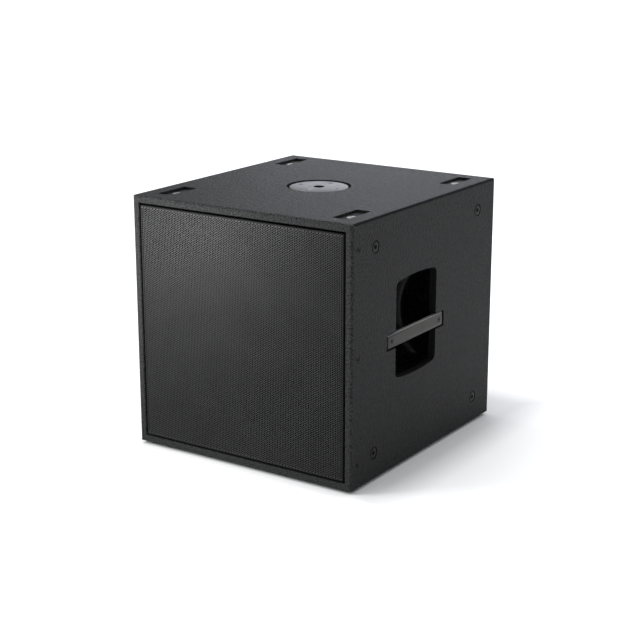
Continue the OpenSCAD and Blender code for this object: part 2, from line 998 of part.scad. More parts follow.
// The surround's outer lip lies on the basket's rim, its half roll stands forward, and its inner
// lip lies on the front edge of the cone, ahead of the rim.
module surround() {
    roll_r = 9.5;
    skin = 1;
    mid_r = 160.5;
    steps = 12;
    inner_z = cone_front[1] + 0.3;
    outer_z = flange_z[1];
    function roll_point(i, r, lift) =
        let (a = 180 * (1 - i / steps))
            [mid_r + r * cos(a), outer_z + lift + (inner_z - outer_z) * (1 - cos(a)) / 2 + r * sin(a)];
    color([0.07, 0.07, 0.07])
        on_driver_axis()
            rotate_extrude()
                polygon(concat(
                    [[144, inner_z]],
                    [for (i = [0:steps]) roll_point(i, roll_r - skin, 0)],
                    [[179, outer_z], [179, outer_z + skin]],
                    [for (i = [steps:-1:0]) roll_point(i, roll_r, skin)],
                    [[144, inner_z + skin]]));
}

module cone() {
    color([0.1, 0.1, 0.1])
        on_driver_axis()
            rotate_extrude()
                polygon([[cone_neck[0], cone_neck[1]], [cone_neck[0] + 3, cone_neck[1]],
                    [cone_front[0] - 8, cone_front[1] - cone_t], [cone_front[0], cone_front[1] - cone_t],
                    cone_front, [cone_front[0] - 9, cone_front[1]],
                    [cone_neck[0], cone_neck[1] + 2.5]]);
}

module dust_cap() {
    cap_r = 60;
    rise = 17;
    dome_r = (cap_r * cap_r + rise * rise) / (2 * rise);
    glue_z = cone_neck[1] + 2.5;
    slope = (cone_front[1] - glue_z) / (cone_front[0] - 9 - cone_neck[0]);
    seat_z = glue_z + (cap_r - cone_neck[0]) * slope + 0.1;
    color([0.08, 0.08, 0.08])
        on_driver_axis()
            translate([0, 0, seat_z])
                intersection() {
                    translate([0, 0, rise - dome_r])
                        difference() {
                            sphere(r = dome_r, $fn = 96);
                            sphere(r = dome_r - 1.2, $fn = 96);
                        }
                    cylinder(r = cap_r + 5, h = rise + 5);
                }
}

module coil_former() {
    color([0.65, 0.5, 0.25])
        on_driver_axis()
            ring(former_r[0], former_r[1], coil_z[0], cone_neck[1] + 4);
}

module voice_coil() {
    color([0.72, 0.4, 0.2])
        on_driver_axis()
            ring(former_r[1], coil_r, coil_z[0], coil_z[1]);
}

// A corrugated cloth disc between the coil former and the basket's seat.
module spider() {
    wave = 1.6;
    waves = 6;
    r_in = 38.5;
    r_out = 90;
    skin = 0.8;
    steps = 48;
    function ripple(t) = wave * sin(360 * waves * t);
    color([0.75, 0.6, 0.3])
        on_driver_axis()
            rotate_extrude()
                polygon(concat(
                    [for (i = [0:steps]) let (t = i / steps)
                        [r_in + (r_out - r_in) * t, spider_z + ripple(t)]],
                    [[103.5, spider_z], [103.5, spider_z + skin]],
                    [for (i = [steps:-1:0]) let (t = i / steps)
                        [r_in + (r_out - r_in) * t, spider_z + skin + ripple(t)]]));
}

module top_plate() {
    color([0.55, 0.55, 0.57])
        on_driver_axis()
            ring(coil_r + 1, 88, top_plate_z[0], top_plate_z[1]);
}

module magnet() {
    color([0.2, 0.2, 0.21])
        on_driver_axis()
            ring(52, 100, magnet_z[0], magnet_z[1]);
}

// The round back plate with the vented pole in its middle.
module back_plate() {
    pole_r = former_r[0] - 0.6;
    color([0.5, 0.5, 0.52])
        on_driver_axis()
            difference() {
                union() {
                    translate([0, 0, back_plate_z[0]])
                        cylinder(r = 90, h = back_plate_z[1] - back_plate_z[0]);
                    translate([0, 0, back_plate_z[0]])
                        cylinder(r = pole_r, h = top_plate_z[1] - back_plate_z[0]);
                }
                translate([0, 0, back_plate_z[0] - eps])
                    cylinder(r = 12, h = 60);
            }
}

// A board that bridges one window of the basket and lies on the two spokes beside it.
module driver_terminals() {
    wall = [143.2, -45];
    half_h = 6.4 * [1, 1];
    thick = 2.1 * [1, -1];
    span_deg = 34;
    color([0.35, 0.22, 0.12])
        on_driver_axis()
            rotate(180) {
                rotate(-span_deg / 2)
                    rotate_extrude(angle = span_deg)
                        polygon([wall - half_h, wall - half_h + thick,
                            wall + half_h + thick, wall + half_h]);
                for (end = [-1, 1])
                    translate([wall[0], end * 10 - 3, wall[1]])
                        rotate([0, 45, 0])
                            translate([1, 0, -0.4])
                                cube([11, 6, 0.8]);
            }
}

// Two flexible leads, each a loop from a terminal to the back of the cone.
module tinsel_leads() {
    loop_r = 23.4;
    color([0.72, 0.45, 0.25])
        on_driver_axis()
            rotate(180)
                for (end = [-1, 1])
                    translate([120.5, end * 10, -33])
                        rotate([90, 0, 0])
                            rotate(135)
                                rotate_extrude(angle = 187)
                                    translate([loop_r, 0, 0])
                                        circle(r = 0.9, $fn = 16);
}

// ---- Lining and cable ----

module rear_lining() {
    color([0.32, 0.33, 0.35])
        difference() {
            translate([-lining_x, half_d - panel_t - lining_t, mid_z - in_z + lining_t + 2])
                cube([2 * lining_x, lining_t, 2 * (in_z - lining_t - 2)]);
            translate([0, half_d - panel_t, dish_z])
                along_y(4 * lining_t)
                    polygon(round_rect(dish_w + 14, dish_h + 14, 8));
        }
}

module level_lining(level) {
    front_y = brace_y + board_t + 2;
    rear_y = half_d - panel_t - 1;
    z0 = level > 0 ? mid_z + in_z - lining_t : mid_z - in_z;
    color([0.32, 0.33, 0.35])
        translate([-lining_x, front_y, z0])
            cube([2 * lining_x, rear_y - front_y, lining_t]);
}

// A tube of straight stretches that follows a list of points.
module swept_tube(path, r, sides) {
    n = len(path);
    ring_dir = [for (i = [0:n - 1])
        let (d = path[min(i + 1, n - 1)] - path[max(i - 1, 0)]) d / norm(d)];
    points = [for (i = [0:n - 1])
        let (u = cross(ring_dir[i], [0, 0, 1]), v = cross(u / norm(u), ring_dir[i]))
            for (k = [0:sides - 1])
                path[i] + r * (cos(360 * k / sides) * u / norm(u) + sin(360 * k / sides) * v)];
    walls = [for (i = [0:n - 2]) for (k = [0:sides - 1])
        let (k2 = (k + 1) % sides)
            [i * sides + k, i * sides + k2, (i + 1) * sides + k2, (i + 1) * sides + k]];
    first = [for (k = [sides - 1:-1:0]) k];
    last = [for (k = [0:sides - 1]) (n - 1) * sides + k];
    polyhedron(points, concat(walls, [first, last]));
}

module signal_cable() {
    color([0.12, 0.12, 0.12])
        swept_tube(cable_route, cable_r, cable_sides);
}

top_panel();
bottom_panel();
side_panel(-1);  // left_side_panel
side_panel(1);  // right_side_panel
rear_panel();
front_baffle();
window_brace();
port_board(-1, 1);  // top_left_port_board
port_board(1, 1);  // top_right_port_board
port_board(-1, -1);  // bottom_left_port_board
port_board(1, -1);  // bottom_right_port_board
grille();
grille_foam();
grille_screws();
grille_spacers();
grille_nuts();
handle_cup(-1);  // left_handle_cup
handle_cup(1);  // right_handle_cup
handle_bar(-1);  // left_handle_bar
handle_bar(1);  // right_handle_bar
handle_bar_screws();
handle_bar_nuts();
handle_cup_screws();
pole_plate();
pole_plate_screws();
pole_plate_nuts();
rigging_inserts(-1);  // left_rigging_inserts
rigging_inserts(1);  // right_rigging_inserts
top_pocket_inserts();
foot(-1, -1);  // front_left_foot
foot(1, -1);  // front_right_foot
foot(-1, 1);  // rear_left_foot
foot(1, 1);  // rear_right_foot
foot_screws();
connector_dish();
speaker_connector(1);  // input_connector
speaker_connector(-1);  // link_connector
connector_screws();
dish_screws();
driver_basket();
driver_seal();
driver_front_ring();
driver_bolts();
driver_nuts();
driver_terminals();
tinsel_leads();
surround();
cone();
dust_cap();
coil_former();
voice_coil();
spider();
top_plate();
magnet();
back_plate();
rear_lining();
level_lining(1);  // top_lining
level_lining(-1);  // bottom_lining
signal_cable();
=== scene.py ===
"""Looks of the subwoofer cabinet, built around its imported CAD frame. Lengths are in metres."""
import json
import math

import bmesh
import bpy
import numpy as np
from mathutils import Matrix, Vector, geometry, noise


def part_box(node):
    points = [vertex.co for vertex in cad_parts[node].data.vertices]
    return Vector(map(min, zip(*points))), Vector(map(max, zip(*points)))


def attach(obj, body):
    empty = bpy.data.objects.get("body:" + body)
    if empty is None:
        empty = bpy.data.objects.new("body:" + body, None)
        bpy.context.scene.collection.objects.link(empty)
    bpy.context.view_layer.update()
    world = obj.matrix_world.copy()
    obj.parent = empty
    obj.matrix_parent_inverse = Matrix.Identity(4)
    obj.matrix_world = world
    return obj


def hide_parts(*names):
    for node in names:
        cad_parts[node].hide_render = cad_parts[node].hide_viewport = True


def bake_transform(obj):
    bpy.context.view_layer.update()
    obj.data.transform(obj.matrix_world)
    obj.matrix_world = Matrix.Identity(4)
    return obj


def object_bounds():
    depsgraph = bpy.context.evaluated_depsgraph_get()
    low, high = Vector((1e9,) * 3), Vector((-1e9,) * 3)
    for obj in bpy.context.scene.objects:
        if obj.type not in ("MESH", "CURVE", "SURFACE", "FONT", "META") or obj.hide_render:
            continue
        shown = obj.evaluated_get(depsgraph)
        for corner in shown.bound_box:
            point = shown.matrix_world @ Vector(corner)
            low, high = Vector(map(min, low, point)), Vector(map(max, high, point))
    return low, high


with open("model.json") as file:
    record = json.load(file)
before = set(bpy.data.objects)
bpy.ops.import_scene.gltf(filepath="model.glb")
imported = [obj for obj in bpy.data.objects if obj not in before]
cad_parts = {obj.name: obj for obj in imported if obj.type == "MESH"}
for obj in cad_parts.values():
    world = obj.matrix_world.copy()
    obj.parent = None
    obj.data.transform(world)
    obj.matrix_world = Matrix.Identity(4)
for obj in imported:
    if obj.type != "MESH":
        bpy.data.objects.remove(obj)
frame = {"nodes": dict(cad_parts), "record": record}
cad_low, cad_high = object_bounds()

MM = 0.001
# A turned cutter's radius at its axis. Where it cuts a hole, this size leaves a sliver of about
# 2 microns in the middle of it, and the fine one, which welds shut, leaves none.
AXIS_R = 0.001 * MM
FINE_AXIS_R = 0.0001 * MM
CABINET = "cabinet"
SIDES = {"left": -1, "right": 1}
record = frame["record"]
nodes = frame["nodes"]
slot_of = {part["node"]: part["material_slot"] for part in record["subparts"]}


# ---- Materials ----

class Surface:
    """A material built from nodes. Its textures lie in the row frame, in metres."""

    def __init__(self, name, metallic=0.0, specular=0.5):
        self.material = bpy.data.materials.new(name)
        self.material.use_nodes = True
        self.tree = self.material.node_tree
        self.shader = self.tree.nodes["Principled BSDF"]
        self.shader.inputs["Metallic"].default_value = metallic
        self.shader.inputs["Specular IOR Level"].default_value = specular
        self.where = self.node("ShaderNodeTexCoord").outputs["Object"]

    def node(self, kind, **settings):
        made = self.tree.nodes.new(kind)
        for key, value in settings.items():
            setattr(made, key, value)
        return made

    def link(self, source, target):
        self.tree.links.new(source, target)

    def axes(self):
        """The three coordinates of the place, by the names X, Y and Z."""
        split = self.node("ShaderNodeSeparateXYZ")
        self.link(self.where, split.inputs[0])
        return split.outputs

    def stretched(self, scale):
        """The place coordinate, stretched by three factors."""
        mapping = self.node("ShaderNodeMapping")
        mapping.inputs["Scale"].default_value = scale
        self.link(self.where, mapping.inputs["Vector"])
        return mapping.outputs["Vector"]

    def grain(self, per_metre, detail=3.0, stretch=None, distortion=0.0):
        made = self.node("ShaderNodeTexNoise")
        self.link(self.stretched(stretch) if stretch else self.where, made.inputs["Vector"])
        made.inputs["Scale"].default_value = per_metre
        made.inputs["Detail"].default_value = detail
        made.inputs["Distortion"].default_value = distortion
        return made.outputs["Fac"]

    def cells(self, per_metre, feature="F1", stretch=None):
        made = self.node("ShaderNodeTexVoronoi", feature=feature)
        self.link(self.stretched(stretch) if stretch else self.where, made.inputs["Vector"])
        made.inputs["Scale"].default_value = per_metre
        return made.outputs["Distance"]

    def calc(self, operation, a, b=0.0):
        made = self.node("ShaderNodeMath", operation=operation)
        for socket, value in zip(made.inputs, (a, b)):
            if isinstance(value, (int, float)):
                socket.default_value = value
            else:
                self.link(value, socket)
        return made.outputs[0]

    def off_middle(self, coordinate, low, high):
        """How far a coordinate is from the middle of a range, either way."""
        return self.calc("ABSOLUTE", self.calc("SUBTRACT", coordinate, (low + high) / 2))

    def span(self, value, low, high, to_low=0.0, to_high=1.0):
        """Maps a value from one range to another, clamped."""
        made = self.node("ShaderNodeMapRange")
        self.link(value, made.inputs["Value"])
        for key, number in (("From Min", low), ("From Max", high),
                            ("To Min", to_low), ("To Max", to_high)):
            made.inputs[key].default_value = number
        return made.outputs["Result"]

    def mix(self, factor, a, b):
        """Blends two colours, each a tuple or a socket."""
        made = self.node("ShaderNodeMix", data_type="RGBA")
        self.link(factor, made.inputs["Factor"])
        for socket, colour in ((made.inputs[6], a), (made.inputs[7], b)):
            if isinstance(colour, tuple):
                socket.default_value = (*colour, 1.0)
            else:
                self.link(colour, socket)
        return made.outputs[2]

    def bump(self, height, depth, strength=1.0, under=None):
        made = self.node("ShaderNodeBump")
        made.inputs["Strength"].default_value = strength
        made.inputs["Distance"].default_value = depth
        self.link(height, made.inputs["Height"])
        if under is not None:
            self.link(under, made.inputs["Normal"])
        return made.outputs["Normal"]

    def set(self, colour=None, roughness=None, normal=None, **numbers):
        for key, value in (("Base Color", colour), ("Roughness", roughness), ("Normal", normal)):
            if value is not None:
                self.link(value, self.shader.inputs[key])
        for key, value in numbers.items():
            self.shader.inputs[key.replace("_", " ")].default_value = value
        return self.material


def grey(value, warm=0.0):
    return (value * (1 + warm), value, value * (1 - warm))


def coating():
    """Black structured paint: fine rounded grains in clumps, with a painted highlight and a little
    rubbed wear on the front, and painted shade along the other edges.
    """
    tint = -0.03
    shiny, matt = 0.18, 0.03
    s = Surface("textured_coating", specular=shiny)
    clump = s.grain(420, 4.0)
    grain = s.cells(760, "SMOOTH_F1")
    fine = s.grain(1900, 2.0)
    height = s.calc("ADD", s.calc("MULTIPLY", grain, -1.1),
                    s.calc("ADD", s.calc("MULTIPLY", clump, 1.3), s.calc("MULTIPLY", fine, 0.35)))
    tone = s.span(s.grain(9, 3.0), 0.3, 0.7)
    colour = s.mix(tone, grey(0.0055, tint), grey(0.0075, tint))
    speckle = s.span(s.grain(300, 2.0), 0.36, 0.64)
    colour = s.mix(s.calc("MULTIPLY", speckle, 0.7), colour, grey(0.018, tint))
    crest = s.span(s.calc("ADD", clump, s.calc("MULTIPLY", grain, -0.5)), 0.28, 0.5)
    colour = s.mix(s.calc("MULTIPLY", crest, 0.45), colour, grey(0.021, tint))

    # The front face and its edges are paler: a painted highlight, with a little rubbed wear that
    # also lowers the roughness
    place = s.axes()
    front = s.span(place["Y"], cad_low.y + 7 * MM, cad_low.y + 4 * MM)
    front_highlight_and_rub = s.calc("MULTIPLY", front, s.span(speckle, 0.2, 0.8))
    colour = s.mix(s.calc("MULTIPLY", front_highlight_and_rub, 0.8), colour, grey(0.034, -0.02))

    # The other upright and side edges get painted shade: a darker colour and a lower specular
    # level. A point is near an edge where it is near two walls at once, so the lesser of the two
    # depths counts (depths are negative inside).
    depth = []
    for axis, axis_name in enumerate("XYZ"):
        off = s.off_middle(place[axis_name], cad_low[axis], cad_high[axis])
        depth.append(s.calc("SUBTRACT", off, (cad_high[axis] - cad_low[axis]) / 2))
    edge = s.calc("MAXIMUM", s.calc("MINIMUM", depth[0], depth[1]),
                  s.calc("MINIMUM", depth[0], depth[2]))
    painted_edge_shade = s.calc("MULTIPLY", s.span(edge, -5.5 * MM, -2.5 * MM), s.calc("SUBTRACT", 1.0, front))
    colour = s.mix(s.calc("MULTIPLY", painted_edge_shade, 0.85), colour, grey(0.0015))
    s.link(s.span(painted_edge_shade, 0.0, 1.0, shiny, matt), s.shader.inputs["Specular IOR Level"])
    rough = s.calc("SUBTRACT", s.span(s.grain(140, 4.0), 0.3, 0.7, 0.5, 0.62),
                   s.calc("MULTIPLY", front_highlight_and_rub, 0.08))

    # Painted shade: the walls of the hand openings and of the bars' pockets are painted plain
    # near-black
    face_x = 249.4 * MM
    painted_recess_shade = []
    for node_name, grow in (("right_handle_cup", -11.5 * MM), ("right_handle_bar", 5.2 * MM)):
        lower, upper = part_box(node_name)
        inside = s.calc("LESS_THAN", s.calc("ABSOLUTE", place["X"]), face_x)
        for axis, axis_name in ((1, "Y"), (2, "Z")):
            off = s.off_middle(place[axis_name], lower[axis], upper[axis])
            within = s.calc("LESS_THAN", off, (upper[axis] - lower[axis]) / 2 + grow)
            inside = s.calc("MULTIPLY", inside, within)
        painted_recess_shade.append(inside)
    colour = s.mix(s.calc("MAXIMUM", *painted_recess_shade), colour, grey(0.004))
    relief = s.bump(speckle, 1.3 * MM, 0.9)
    return s.set(colour, rough, s.bump(height, 0.6 * MM, 0.75, under=relief))


def wood(name, light, dark, specular=0.3):
    """Board with a grain along the width and thin dark lines of the plies."""
    s = Surface(name, specular=specular)
    lines = s.grain(70, 6.0, stretch=(0.12, 1.0, 3.0), distortion=0.6)
    pores = s.grain(900, 2.0, stretch=(0.08, 1.0, 1.0))
    colour = s.mix(s.span(lines, 0.3, 0.7), light, dark)
    rough = s.span(pores, 0.3, 0.7, 0.55, 0.78)
    height = s.calc("ADD", lines, s.calc("MULTIPLY", pores, 0.5))
    return s.set(colour, rough, s.bump(height, 0.2 * MM, 0.5))


def moulded(name, dark, light, rough, specular=0.5, grain=1400, depth=0.06 * MM, scuffs=0.0,
            warm=0.0):
    """Moulded plastic or rubber with a fine spark-eroded grain, and scuffs where it is handled."""
    s = Surface(name, specular=specular)
    tone = s.span(s.grain(24, 4.0), 0.3, 0.7)
    colour = s.mix(tone, grey(dark, warm), grey(light, warm))
    scratch = s.span(s.grain(300, 6.0, stretch=(1.0, 0.05, 1.0), distortion=1.2), 0.6, 0.72)
    colour = s.mix(s.calc("MULTIPLY", scratch, scuffs), colour, grey(light * 3, warm))
    rough_map = s.calc("ADD", s.span(s.grain(90, 5.0), 0.3, 0.7, rough - 0.05, rough + 0.07),
                       s.calc("MULTIPLY", scratch, 0.12))
    height = s.calc("ADD", s.grain(grain, 2.0), s.calc("MULTIPLY", s.cells(grain * 0.6), 0.5))
    return s.set(colour, rough_map, s.bump(height, depth, 0.6))


def metal(name, dark, light, rough, metallic=1.0, stretch=None, grain=900, depth=0.03 * MM,
          warm=0.0, stain=0.25, specular=0.5, bore=0.0, highlight_node=None):
    """Metal with a machined, brushed or blasted grain and faint stains."""
    s = Surface(name, metallic=metallic, specular=specular)
    lines = s.grain(grain, 4.0, stretch=stretch)
    cloud = s.grain(45, 5.0)
    colour = s.mix(s.span(lines, 0.3, 0.7), grey(dark, warm), grey(light, warm))
    spots = s.calc("MULTIPLY", s.span(cloud, 0.52, 0.72), stain)
    colour = s.mix(spots, colour, grey(dark * 0.55, warm))
    rough_map = s.calc("ADD", s.span(lines, 0.25, 0.75, rough - 0.06, rough + 0.08),
                       s.calc("MULTIPLY", spots, 0.4))
    if highlight_node:
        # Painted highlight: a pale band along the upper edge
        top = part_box(highlight_node)[1].z
        painted_top_highlight = s.span(s.axes()["Z"], top - 1.8 * MM, top - 0.9 * MM)
        colour = s.mix(painted_top_highlight, colour, grey(0.30))
    if bore:
        # Painted shade: the bore round the upright axis is near black
        place = s.axes()
        reach = s.calc("SQRT", s.calc("ADD", s.calc("POWER", place["X"], 2.0),
                                      s.calc("POWER", place["Y"], 2.0)))
        colour = s.mix(s.span(reach, bore - 0.6 * MM, bore, 1.0, 0.0), colour, grey(0.004))
    return s.set(colour, rough_map, s.bump(lines, depth, 0.7))


def foam():
    """Open-cell foam: round pores between thin struts."""
    s = Surface("black_foam", specular=0.1)
    pores = s.cells(620)
    colour = s.mix(s.span(pores, 0.15, 0.6), grey(0.010), grey(0.0025))
    rough = s.span(s.grain(300), 0.3, 0.7, 0.88, 0.98)
    return s.set(colour, rough, s.bump(pores, 1.2 * MM))


def wadding():
    """Felted fibre: long soft strands in many directions."""
    s = Surface("grey_wadding", specular=0.1)
    one = s.grain(260, 6.0, stretch=(1.0, 0.15, 0.5), distortion=2.0)
    two = s.grain(260, 6.0, stretch=(0.2, 1.0, 0.6), distortion=2.0)
    strands = s.calc("MAXIMUM", one, two)
    colour = s.mix(s.span(strands, 0.42, 0.7), grey(0.09, -0.03), grey(0.24, -0.03))
    rough = s.span(strands, 0.3, 0.7, 0.98, 0.85)
    return s.set(colour, rough, s.bump(strands, 1.5 * MM, 0.8), Sheen_Weight=0.3)


def woven(name, light, dark, threads):
    """Cloth with crossing threads in a plane across the depth."""
    s = Surface(name, specular=0.3)
    waves = []
    for axis in ("X", "Z"):
        wave = s.node("ShaderNodeTexWave", bands_direction=axis)
        s.link(s.where, wave.inputs["Vector"])
        wave.inputs["Scale"].default_value = threads
        wave.inputs["Distortion"].default_value = 0.4
        waves.append(wave.outputs["Fac"])
    weave = s.calc("MULTIPLY", waves[0], waves[1])
    colour = s.mix(s.span(weave, 0.1, 0.7), dark, light)
    rough = s.span(s.grain(200), 0.3, 0.7, 0.74, 0.86)
    return s.set(colour, rough, s.bump(weave, 0.2 * MM, 0.6), Sheen_Weight=0.1)


def paper():
    """Pressed cone paper with fibres and a doped, slightly shiny face."""
    s = Surface("cone_paper", specular=0.35)
    fibres = s.grain(500, 7.0, stretch=(1.0, 0.6, 0.4), distortion=1.5)
    colour = s.mix(s.span(fibres, 0.35, 0.65), grey(0.012), grey(0.03, 0.03))
    rough = s.span(fibres, 0.3, 0.7, 0.6, 0.8)
    return s.set(colour, rough, s.bump(fibres, 0.3 * MM, 0.6))


def winding():
    """Enamelled copper wire wound in close turns along the depth."""
    s = Surface("copper_wire", metallic=0.9)
    wave = s.node("ShaderNodeTexWave", bands_direction="Y")
    s.link(s.where, wave.inputs["Vector"])
    wave.inputs["Scale"].default_value = 700
    colour = s.mix(wave.outputs["Fac"], (0.22, 0.07, 0.025), (0.62, 0.26, 0.11))
    rough = s.span(s.grain(120), 0.3, 0.7, 0.25, 0.4)
    return s.set(colour, rough, s.bump(wave.outputs["Fac"], 0.2 * MM, 0.6))


def perforated_paint():
    """Powder coat on the perforated sheet: satin dark grey with a fine orange peel."""
    s = Surface("grille_steel", specular=0.25)
    peel = s.grain(1500, 2.0)
    tone = s.span(s.grain(14, 4.0), 0.3, 0.7)
    colour = s.mix(tone, grey(0.038, -0.01), grey(0.047, -0.01))
    # Painted shade round the fold, next to the gap: darker and rougher
    place = s.axes()
    low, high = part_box("grille")
    inset = []
    for axis, axis_name in ((0, "X"), (2, "Z")):
        off = s.off_middle(place[axis_name], low[axis], high[axis])
        inset.append(s.calc("SUBTRACT", (high[axis] - low[axis]) / 2, off))
    painted_gap_shade = s.span(s.calc("MINIMUM", *inset), 2.8 * MM, 4.2 * MM, 1.0, 0.0)
    colour = s.mix(painted_gap_shade, colour, grey(0.006))
    rough = s.calc("ADD", s.span(s.grain(220, 4.0), 0.3, 0.7, 0.38, 0.5),
                   s.calc("MULTIPLY", painted_gap_shade, 0.3))
    return s.set(colour, rough, s.bump(peel, 0.05 * MM, 0.5))


MATERIALS = {
    "textured_coating": coating(),
    "plywood": wood("plywood", (0.46, 0.30, 0.15), (0.30, 0.18, 0.08)),
    "black_wood": wood("black_wood", (0.020, 0.019, 0.018), (0.011, 0.011, 0.011), 0.2),
    "grille_steel": perforated_paint(),
    "black_foam": foam(),
    "grey_wadding": wadding(),
    "black_plastic": moulded("black_plastic", 0.012, 0.018, 0.48, scuffs=0.06),
    "gloss_black_plastic": moulded("gloss_black_plastic", 0.002, 0.003, 0.22, specular=0.22,
                                   grain=500, depth=0.01 * MM),
    # The handle metal gets a painted highlight along the bar's upper edge
    "handle_metal": metal("handle_metal", 0.020, 0.027, 0.38, metallic=0.4, warm=0.11,
                          specular=0.25, stretch=(1.0, 0.03, 1.0), stain=0.12,
                          highlight_node="right_handle_bar"),
    "plate_metal": metal("plate_metal", 0.085, 0.115, 0.45, stain=0.2, grain=700, warm=-0.01,
                         bore=11.2 * MM),
    "black_steel": metal("black_steel", 0.014, 0.022, 0.42, stain=0.1),
    "zinc_steel": metal("zinc_steel", 0.30, 0.42, 0.4, warm=0.01),
    "black_rubber": moulded("black_rubber", 0.010, 0.016, 0.72, specular=0.3, grain=900,
                            depth=0.12 * MM),
    "basket_alloy": metal("basket_alloy", 0.020, 0.032, 0.55, metallic=0.3, grain=500,
                          depth=0.2 * MM),
    "cone_paper": paper(),
    "former_film": moulded("former_film", 0.16, 0.22, 0.35, warm=0.35),
    "copper_wire": winding(),
    "spider_cloth": woven("spider_cloth", (0.42, 0.28, 0.12), (0.24, 0.15, 0.06), 330),
    "bare_steel": metal("bare_steel", 0.30, 0.45, 0.36, grain=300, stain=0.3),
    "ferrite": moulded("ferrite", 0.020, 0.034, 0.6, grain=700, depth=0.15 * MM),
    "phenolic": moulded("phenolic", 0.05, 0.08, 0.5, warm=0.45),
    "cable_jacket": moulded("cable_jacket", 0.014, 0.02, 0.55, grain=600),
}
for node_name, node_object in nodes.items():
    node_object.data.materials.clear()
    node_object.data.materials.append(MATERIALS[slot_of[node_name]])


# ---- Mesh helpers ----

def piece(name, verts, faces, slot, body=CABINET, instead_of=(), smooth_deg=35.0):
    """A mesh object that rides on a body, in a material slot, in place of CAD nodes."""
    mesh = bpy.data.meshes.new(name)
    mesh.from_pydata([tuple(v) for v in verts], [], [tuple(f) for f in faces])
    mesh.validate()
    return dress(name, mesh, slot, body, instead_of, smooth_deg)


def dress(name, mesh, slot, body=CABINET, instead_of=(), smooth_deg=35.0):
    mesh.materials.clear()
    mesh.materials.append(MATERIALS[slot])
    mesh.shade_smooth()
    mesh.set_sharp_from_angle(angle=math.radians(smooth_deg))
    made = bpy.data.objects.new(name, mesh)
    bpy.context.scene.collection.objects.link(made)
    if body:
        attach(made, body)
    if instead_of:
        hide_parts(*instead_of)
    return made


def bridge(count, start_a, start_b, closed=True):
    """Quads between two rows of vertices with the same count."""
    last = count if closed else count - 1
    return [(start_a + i, start_a + (i + 1) % count,
             start_b + (i + 1) % count, start_b + i) for i in range(last)]


def loft(rings, closed_ends=False, closed_around=True):
    """Vertices and quads through a list of rings with equal counts. With closed_ends, the last
    ring joins the first."""
    count = len(rings[0])
    verts = [v for ring in rings for v in ring]
    faces = []
    pairs = list(zip(range(len(rings) - 1), range(1, len(rings))))
    if closed_ends:
        pairs.append((len(rings) - 1, 0))
    for a, b in pairs:
        faces += bridge(count, a * count, b * count, closed_around)
    return verts, faces


def tidy_mesh(mesh, merge=1e-6):
    """Welds doubles and turns all faces outwards."""
    work = bmesh.new()
    work.from_mesh(mesh)
    bmesh.ops.remove_doubles(work, verts=work.verts, dist=merge)
    bmesh.ops.delete(work, geom=[v for v in work.verts if not v.link_faces], context="VERTS")
    bmesh.ops.recalc_face_normals(work, faces=work.faces)
    work.to_mesh(mesh)
    work.free()
    return mesh


def mesh_of(verts, faces, merge=1e-6):
    mesh = bpy.data.meshes.new("part")
    mesh.from_pydata([tuple(v) for v in verts], [], [tuple(f) for f in faces])
    return tidy_mesh(mesh, merge)


def joined(meshes):
    """One mesh from several."""
    work = bmesh.new()
    for mesh in meshes:
        work.from_mesh(mesh)
    made = bpy.data.meshes.new("joined")
    work.to_mesh(made)
    work.free()
    return made


def moved(mesh, matrix):
    copy = mesh.copy()
    copy.transform(matrix)
    if matrix.determinant() < 0:
        copy.flip_normals()
    return copy


def cut(mesh, cutters):
    """The mesh less the cutters, by an exact boolean."""
    target = bpy.data.objects.new("target", mesh)
    tool = bpy.data.objects.new("tool", joined(cutters))
    for o in (target, tool):
        bpy.context.scene.collection.objects.link(o)
    modifier = target.modifiers.new("cut", "BOOLEAN")
    modifier.operation = "DIFFERENCE"
    modifier.solver = "EXACT"
    modifier.object = tool
    bpy.context.view_layer.update()
    made = bpy.data.meshes.new_from_object(
        target.evaluated_get(bpy.context.evaluated_depsgraph_get()))
    for o in (target, tool):
        bpy.data.objects.remove(o)
    return made


def lathe(profile, steps=64):
    """A closed profile of (radius, height) turned about local z."""
    rings = []
    for i in range(steps):
        a = 2 * math.pi * i / steps
        rings.append([(r * math.cos(a), r * math.sin(a), z) for r, z in profile])
    verts, faces = loft(rings, closed_ends=True)
    return mesh_of(verts, faces)


def drill(radius, axis_r=AXIS_R):
    """A cutter for a plain hole through a sheet, about local z."""
    reach = 9 * MM
    return lathe([(axis_r, -reach), (radius, -reach), (radius, reach), (axis_r, reach)], 24)


def countersink(head_r):
    """A cutter for a 90 degree countersink and its clearance hole, face at z = 0."""
    clear_r, below = 3.2 * MM, 0.3 * MM
    return lathe([(AXIS_R, -20 * MM), (clear_r, -20 * MM),
                  (clear_r, clear_r - head_r - below), (head_r, -below),
                  (head_r + 0.2 * MM, 1 * MM), (AXIS_R, 1 * MM)], 32)


def facing(sign):
    """Turns local z towards +x or -x."""
    return Matrix.Rotation(sign * math.pi / 2, 4, "Y")


def threaded_tube(profile_out, z_top, z_low, minor_r, major_r, pitch, steps, lead_in):
    """A turned part whose bore has a real helical thread. profile_out runs from the bore's top
    edge round the outside to the bore's low edge, as (radius, height)."""
    rows = max(8, int((z_top - z_low) / pitch * 6))
    rings = []
    for i in range(steps):
        turn = i / steps
        a = 2 * math.pi * turn
        ring = [(r * math.cos(a), r * math.sin(a), z) for r, z in profile_out]
        for k in range(rows + 1):
            z = z_low + (z_top - z_low) * k / rows
            phase = ((z_top - z) / pitch + turn) % 1.0
            ridge = abs(2 * phase - 1)
            fade = min(1.0, (z_top - z) / lead_in, (z - z_low) / lead_in)
            r = major_r - (major_r - minor_r) * ridge * max(0.0, fade)
            ring.append((r * math.cos(a), r * math.sin(a), z))
        rings.append(ring)
    verts, faces = loft(rings, closed_ends=True)
    return mesh_of(verts, faces)


